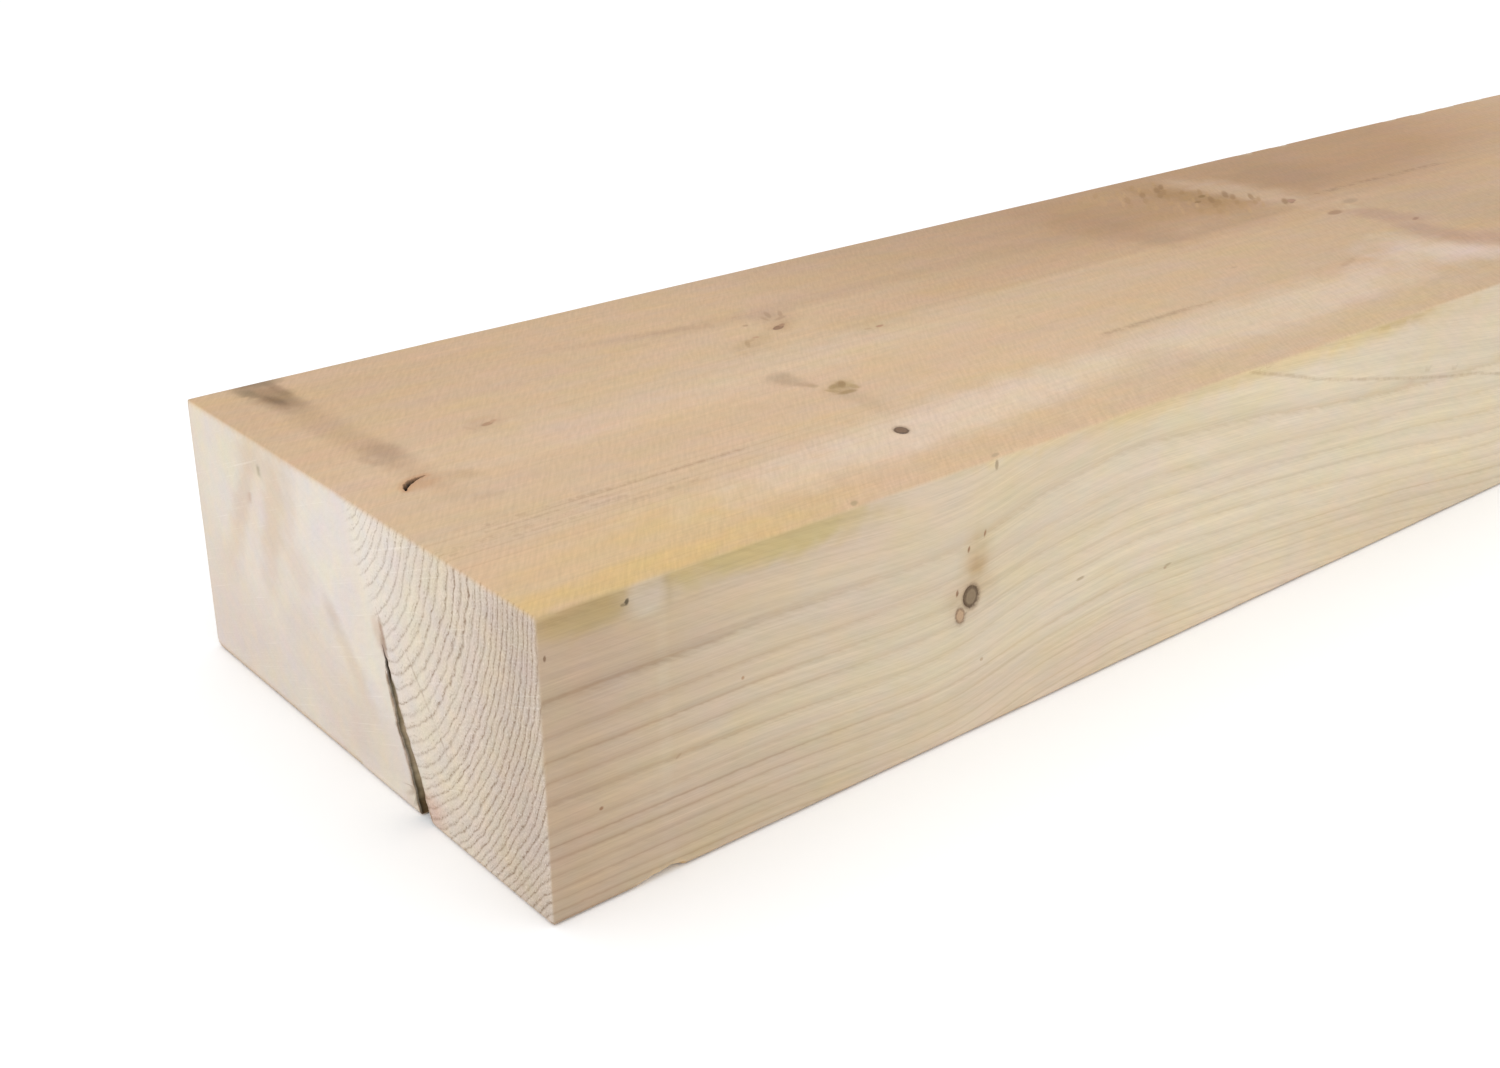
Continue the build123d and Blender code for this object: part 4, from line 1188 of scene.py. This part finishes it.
# ---------------------------------------------------------------------------
# material
# ---------------------------------------------------------------------------
class Net:
    """Short hand for wiring shader nodes."""

    def __init__(self, tree):
        self.tree = tree
        self.count = 0

    def node(self, kind, **props):
        n = self.tree.nodes.new(kind)
        n.location = (180 * (self.count % 24), -220 * (self.count // 24))
        self.count += 1
        for k, v in props.items():
            setattr(n, k, v)
        return n

    def put(self, socket, value):
        if isinstance(value, Sig):
            self.tree.links.new(value.s, socket)
        else:
            socket.default_value = value

    def math(self, op, *args, clamp=False):
        n = self.node("ShaderNodeMath", operation=op, use_clamp=clamp)
        for i, a in enumerate(args):
            self.put(n.inputs[i], a)
        return Sig(self, n.outputs[0])

    def attr(self, name, out="Fac"):
        n = self.node("ShaderNodeAttribute", attribute_name=name)
        return Sig(self, n.outputs[out])

    def xyz(self, x, y, z):
        n = self.node("ShaderNodeCombineXYZ")
        for i, v in enumerate((x, y, z)):
            self.put(n.inputs[i], v)
        return Sig(self, n.outputs[0])

    def split(self, vec):
        n = self.node("ShaderNodeSeparateXYZ")
        self.put(n.inputs[0], vec)
        return [Sig(self, o) for o in n.outputs]

    def noise(self, vec, scale=1.0, detail=2.0, rough=0.5, twist=0.0):
        n = self.node("ShaderNodeTexNoise", noise_dimensions="3D")
        self.put(n.inputs["Vector"], vec)
        n.inputs["Scale"].default_value = scale
        n.inputs["Detail"].default_value = detail
        n.inputs["Roughness"].default_value = rough
        n.inputs["Distortion"].default_value = twist
        return Sig(self, n.outputs[0])

    def rand(self, w):
        n = self.node("ShaderNodeTexWhiteNoise", noise_dimensions="1D")
        self.put(n.inputs["W"], w)
        return Sig(self, n.outputs["Value"])

    def ramp(self, fac, stops, mode="LINEAR"):
        n = self.node("ShaderNodeValToRGB")
        n.color_ramp.interpolation = mode
        e = n.color_ramp.elements
        while len(e) < len(stops):
            e.new(0.5)
        for el, (pos, v) in zip(e, stops):
            el.position = pos
            el.color = (v, v, v, 1)
        self.put(n.inputs[0], fac)
        return Sig(self, n.outputs[0])

    def remap(self, v, a, b, c, d, kind="SMOOTHSTEP"):
        n = self.node("ShaderNodeMapRange", interpolation_type=kind)
        for i, s in enumerate((v, a, b, c, d)):
            self.put(n.inputs[i], s)
        return Sig(self, n.outputs[0])

    def mix(self, fac, a, b, blend="MIX"):
        n = self.node("ShaderNodeMix", data_type="RGBA", blend_type=blend)
        self.put(n.inputs[0], fac)
        self.put(n.inputs[6], a)
        self.put(n.inputs[7], b)
        return Sig(self, n.outputs[2])


class Sig:
    def __init__(self, net, s):
        self.net, self.s = net, s

    def __add__(self, o): return self.net.math("ADD", self, o)
    def __radd__(self, o): return self.net.math("ADD", o, self)
    def __sub__(self, o): return self.net.math("SUBTRACT", self, o)
    def __rsub__(self, o): return self.net.math("SUBTRACT", o, self)
    def __mul__(self, o): return self.net.math("MULTIPLY", self, o)
    def __rmul__(self, o): return self.net.math("MULTIPLY", o, self)
    def floor(self): return self.net.math("FLOOR", self)
    def fract(self): return self.net.math("FRACT", self)


def rgba(rgb):
    return tuple(float(v) for v in lin(rgb)) + (1.0,)


def wood_material():
    mat = bpy.data.materials.new("sawn_softwood")
    mat.use_nodes = True
    tree = mat.node_tree
    tree.nodes.clear()
    net = Net(tree)
    out = net.node("ShaderNodeOutputMaterial")
    bsdf = net.node("ShaderNodeBsdfPrincipled")
    tree.links.new(bsdf.outputs[0], out.inputs[0])

    gx, gy, gz = net.split(net.attr("grain", "Vector"))
    ring = net.attr("ring")
    show = net.attr("show")
    endg = net.attr("endg")
    wall = net.attr("wall")
    kd = net.attr("kd")
    krim = net.attr("krim")
    tone = net.attr("tone", "Color")
    kcolor = net.attr("kcol", "Color")
    kmix = net.attr("kcol", "Alpha")

    long_ = 1.0 - endg
    # fibre: long streaks on the faces, fine specks on the ends
    streak = net.noise(net.xyz(gx * 0.010, gy * 0.62, gz * 0.62), 1.0, 4.0, 0.55)
    fibre = net.noise(net.xyz(gx * 0.045, gy * 2.6, gz * 2.6), 1.0, 3.0, 0.6)
    cloud = net.noise(net.xyz(gx * 0.006, gy * 0.085, gz * 0.085), 1.0, 3.0, 0.5)

    # growth rings
    wobble = net.noise(net.xyz(gx * 0.02, gy * 0.8, gz * 0.8), 1.0, 2.0, 0.5)
    tear = net.noise(net.xyz(gx * 0.2, gy * 2.1, gz * 2.1), 1.0, 2.0, 0.6)
    t_a = gx * 0.94 - gz * 0.34
    t_b = gz * 0.94 + gx * 0.34
    slant = net.noise(net.xyz(t_a * 0.14, gy * 0.4, t_b * 0.95), 1.0, 2.0, 0.6)
    slant = net.remap(slant, 0.25, 0.75, -1.0, 1.0, "LINEAR")
    n = ring + (wobble - 0.5) * (0.10 + 0.18 * endg) + (tear - 0.5) * endg * 0.34
    n = n + slant * (1.0 - endg) * 0.050
    f = n.fract()
    who = net.rand(n.floor())
    who2 = net.rand(n.floor() + 31.7)
    soft_line = net.ramp(f, [(0.0, 0.0), (0.18, 0.04), (0.36, 0.30), (0.46, 0.80), (0.51, 1.0),
                             (0.60, 0.35), (0.74, 0.05), (1.0, 0.0)])
    crisp_line = net.ramp(f, [(0.0, 0.0), (0.30, 0.06), (0.40, 0.35), (0.47, 0.95), (0.54, 1.0),
                              (0.61, 0.25), (0.68, 0.0), (1.0, 0.0)])
    dash = net.noise(net.xyz(gx * 0.1, gy * 0.62, gz * 0.62), 1.0, 3.0, 0.65)
    dash = net.remap(dash, 0.34, 0.60, 0.36, 1.0)
    twin = net.ramp((ring + 0.37 + (wobble - 0.5) * 0.35).fract(),
                    [(0.0, 0.0), (0.42, 0.0), (0.50, 1.0), (0.58, 0.0), (1.0, 0.0)])
    some = net.noise(net.xyz(gx * 0.05, gy * 0.25, gz * 0.25), 1.0, 2.0, 0.5)
    twin = twin * net.remap(some, 0.48, 0.60, 0.0, 0.55)
    end_line = net.math("MAXIMUM", crisp_line * dash * (0.50 + 0.50 * who), twin)
    broad = net.noise(net.xyz(gx * 0.05, gy * 0.16, gz * 0.16), 1.0, 2.0, 0.5)
    broad = net.remap(broad, 0.42, 0.60, 0.0, 1.0)
    end_line = end_line + (soft_line * dash * 0.75 - end_line) * broad * 0.8
    face_line = soft_line * net.remap(streak, 0.30, 0.62, 0.40, 1.0) * (0.34 + 0.66 * who2)
    grit = net.noise(net.xyz(gx * 0.1, gy * 1.6, gz * 1.6), 1.0, 2.0, 0.65)
    end_line = end_line * net.remap(grit, 0.34, 0.62, 0.42, 1.12)
    line = end_line * endg + face_line * long_
    line = line * show

    # colour: the lines stain the wood's own tone
    dark_face = net.mix(1.0, tone, rgba((214, 202, 190)), "MULTIPLY")
    col = net.mix(line * long_, tone, dark_face)
    dark_end = net.mix(1.0, tone, rgba((166, 148, 129)), "MULTIPLY")
    col = net.mix(line * endg * 0.95, col, dark_end)
    # fine hairs between the rings, running with them
    hair = net.noise(net.xyz(n * 3.4, gy * 0.16, gz * 0.16), 1.0, 2.0, 0.6)
    hair = net.remap(hair, 0.30, 0.70, -0.050, 0.050, "LINEAR")
    # fine listed lines, broken where they fade out
    vein = net.attr("vein", "Vector")
    v_d, v_k, v_b = net.split(vein)
    v_gap = net.noise(net.xyz(gx * 0.42, gy * 0.3, gz * 0.3), 1.0, 2.0, 0.6)
    v_on = net.remap(v_gap, 0.46, 0.56, 0.0, 1.0)
    v_on = 1.0 - v_b * (1.0 - v_on)
    v_abs = net.math("ABSOLUTE", v_d)
    v_line = net.remap(v_abs + (fibre - 0.5) * 1.0, 0.2, 1.7, 1.0, 0.0) * v_k * v_on
    dark_vein = net.mix(1.0, tone, rgba((176, 152, 128)), "MULTIPLY")
    col = net.mix(v_line, col, dark_vein)
    pit = net.remap(grit, 0.52, 0.68, 0.0, 0.60)
    col = net.mix(pit * line * endg, col, rgba((136, 117, 98)))
    # lighter wood between the ring lines, strongest just past each line: partly earlywood colour, partly a painted
    # highlight on the torn relief
    bright = net.ramp(f, [(0.0, 0.45), (0.2, 0.4), (0.36, 0.0), (0.62, 0.0), (0.72, 0.7), (0.85, 0.6), (1.0, 0.45)])
    bright = bright * net.remap(grit, 0.30, 0.60, 1.0, 0.25)
    col = net.mix(bright * endg * show * 0.30, col, rgba((244, 234, 220)))
    wide = net.attr("wide")
    # slanting strokes left by the planer, and patches of yellower and pinker wood
    s_a = gx * 0.60 + gy * 0.80
    s_b = gy * 0.60 - gx * 0.80
    stroke = net.noise(net.xyz(s_a * 0.16, s_b * 1.15, gz * 0.2), 1.0, 2.0, 0.6)
    stroke = net.remap(stroke, 0.25, 0.75, -1.0, 1.0, "LINEAR")
    e_a = gy * 0.80 - gz * 0.60
    e_b = gy * 0.60 + gz * 0.80
    torn = net.noise(net.xyz(gx * 0.2, e_a * 0.22, e_b * 1.0), 1.0, 3.0, 0.65)
    torn = net.remap(torn, 0.25, 0.75, -1.0, 1.0, "LINEAR")
    hue = net.noise(net.xyz(gx * 0.040, gy * 0.085, gz * 0.085), 1.0, 3.0, 0.6)
    hue = net.remap(hue, 0.28, 0.72, -1.0, 1.0, "LINEAR")
    hue2 = net.noise(net.xyz(gx * 0.11 + 7.3, gy * 0.21, gz * 0.21), 1.0, 2.0, 0.5)
    hue2 = net.remap(hue2, 0.28, 0.72, -1.0, 1.0, "LINEAR")
    tint = net.xyz(1.0 + hue2 * 0.028, 1.0 + hue * 0.008, 1.0 - hue * 0.075 - hue2 * 0.014)
    col = net.mix(1.0, col, tint, "MULTIPLY")
    shade = net.remap(streak, 0.25, 0.75, -1.0, 1.0, "LINEAR")
    fine = net.remap(fibre, 0.25, 0.75, -1.0, 1.0, "LINEAR")
    big = net.remap(cloud, 0.25, 0.75, -1.0, 1.0, "LINEAR")
    v = 1.0 + shade * (0.058 * long_ + 0.012 - 0.036 * wide)
    v = v + fine * (0.044 * long_ + 0.036 - 0.034 * wide) + big * 0.030
    v = v + stroke * wide * 0.072 + slant * (long_ - wide) * 0.030 + torn * endg * 0.026
    v = v + hair * endg * show
    grey = net.xyz(v, v * 1.0, v)
    col = net.mix(1.0, col, grey, "MULTIPLY")

    # knots
    kwob = net.noise(net.xyz(gx * 0.9, gy * 0.9, gz * 0.9), 1.0, 2.0, 0.5)
    s = kd + (kwob - 0.5) * 0.30
    hard = net.remap(krim, 0.0, 0.12, 0.0, 1.0)
    body = net.remap(s, 1.42 - hard * 0.30, 0.58 + hard * 0.30, 0.0, 1.0)
    kin = net.math("SINE", kd * 13.0)
    kshade = 1.0 + kin * 0.05 + fine * 0.08
    kc = net.mix(1.0, kcolor, net.xyz(kshade, kshade, kshade), "MULTIPLY")
    col = net.mix(body * kmix, col, kc)
    rim = net.ramp(s * 0.25, [(0.0, 0.0), (0.150, 0.0), (0.195, 0.80), (0.245, 1.0), (0.290, 0.45),
                              (0.36, 0.0), (1.0, 0.0)])
    hairs = net.noise(net.xyz(gx * 1.3, gy * 1.3, gz * 1.3), 1.0, 3.0, 0.7)
    rim = rim * net.remap(hairs, 0.34, 0.56, 0.55, 1.0)
    col = net.mix(rim * krim * 0.95, col, rgba((50, 40, 31)))
    halo = net.remap(s, 2.0, 1.0, 0.0, 0.22)
    col = net.mix(halo * krim, col, rgba((160, 126, 94)))

    # saw scratches on the ends, rising to the near side
    u = gy * 0.93 - gz * 0.37
    w = gy * 0.37 + gz * 0.93
    scratch = net.noise(net.xyz(u * 0.022, w * 1.5, gx * 0.01), 1.0, 3.0, 0.7)
    cut = net.remap(scratch, 0.60, 0.70, 0.0, 1.0)
    col = net.mix(cut * endg * 0.16, col, rgba((250, 244, 236)))
    speck = net.remap(tear, 0.54, 0.72, 0.0, 1.0)
    col = net.mix(speck * endg * 0.34 * show, col, rgba((172, 152, 130)))
    glint = net.remap(tear, 0.46, 0.30, 0.0, 1.0)
    col = net.mix(glint * endg * 0.30 * show, col, rgba((240, 229, 216)))
    tree.links.new(col.s, bsdf.inputs["Base Color"])

    # gloss and fine relief
    rough = 0.74 + shade * 0.05 + line * 0.06 + endg * 0.10 + wall * 0.08
    tree.links.new(rough.s, bsdf.inputs["Roughness"])
    gloss = 0.32 - wall * 0.28 - line * endg * 0.10
    tree.links.new(gloss.s, bsdf.inputs["Specular IOR Level"])
    h = (streak * 0.024 + fibre * 0.014) * long_ + (tear * 0.08 + scratch * 0.05) * endg
    h = h + fibre * wall * 0.12
    bump = net.node("ShaderNodeBump")
    bump.inputs["Strength"].default_value = 0.8
    bump.inputs["Distance"].default_value = 0.001
    tree.links.new(h.s, bump.inputs["Height"])
    tree.links.new(bump.outputs[0], bsdf.inputs["Normal"])
    return mat


# ---------------------------------------------------------------------------
# camera, light, floor
# ---------------------------------------------------------------------------
def camera():
    f = 1819.888                     # focal length in pixels of the 1500 px wide image
    turn = Vector((1.8442551, -0.66443959, 0.44190068))
    move = Vector((-0.24408481, 0.61367058, 2.26510640))
    unit = 0.175
    rot = Matrix.Rotation(turn.length, 3, turn.normalized())
    place = -(rot.transposed() @ move) * unit
    place = place - Vector((LX / 2, LY / 2, 0.0)) * 0.001
    cam = bpy.data.cameras.new("camera")
    ob = bpy.data.objects.new("camera", cam)
    bpy.context.scene.collection.objects.link(ob)
    basis = rot.transposed() @ Matrix(((1, 0, 0), (0, -1, 0), (0, 0, -1)))
    ob.matrix_world = Matrix.Translation(place) @ basis.to_4x4()
    cam.sensor_fit = "HORIZONTAL"
    cam.sensor_width = 36.0
    cam.lens = 36.0 * f / 1500.0
    cam.shift_y = -100.0 / 1500.0
    cam.clip_start, cam.clip_end = 0.01, 60.0
    cam.dof.use_dof = False
    bpy.context.scene.camera = ob
    return ob


def area(name, place, look, size, power, colour=(1, 1, 1)):
    light = bpy.data.lights.new(name, "AREA")
    light.shape = "RECTANGLE"
    light.size, light.size_y = size
    light.energy = power
    light.color = colour
    ob = bpy.data.objects.new(name, light)
    bpy.context.scene.collection.objects.link(ob)
    ob.location = place
    ob.rotation_mode = "QUATERNION"
    ob.rotation_quaternion = (Vector(look) - Vector(place)).to_track_quat("-Z", "Y")
    return ob


def studio():
    scene = bpy.context.scene
    scene.view_settings.view_transform = "Standard"
    scene.view_settings.look = "None"
    scene.view_settings.exposure = 0.0
    scene.view_settings.gamma = 1.0
    world = bpy.data.worlds.new("studio")
    scene.world = world
    world.use_nodes = True
    bg = world.node_tree.nodes["Background"]
    bg.inputs[0].default_value = (1.0, 1.0, 1.0, 1.0)
    bg.inputs[1].default_value = 1.05
    area("key", (-2.6, -1.2, 1.9), (-1.1, 0.0, 0.03), (2.2, 1.6), 15.0, (1.0, 1.0, 1.0))
    area("fill", (0.6, -2.8, 1.6), (-0.4, 0.0, 0.03), (3.4, 1.6), 8.0, (1.0, 1.0, 1.0))

    me = bpy.data.meshes.new("floor")
    s = 40.0
    me.from_pydata([(-s, -s, 0), (s, -s, 0), (s, s, 0), (-s, s, 0)], [], [(0, 1, 2, 3)])
    me.update()
    floor = bpy.data.objects.new("floor", me)
    floor.location = (0, 0, -0.0004)
    scene.collection.objects.link(floor)
    mat = bpy.data.materials.new("pale_floor")
    mat.use_nodes = True
    b = mat.node_tree.nodes["Principled BSDF"]
    b.inputs["Base Color"].default_value = (0.970, 0.978, 0.986, 1.0)
    b.inputs["Roughness"].default_value = 0.9
    b.inputs["Specular IOR Level"].default_value = 0.1
    me.materials.append(mat)


cam = camera()
studio()
plank = build_plank()
clean(plank)
finish_plank(plank)
plank.data.materials.clear()
plank.data.materials.append(wood_material())
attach(plank, "root")
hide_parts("plank")
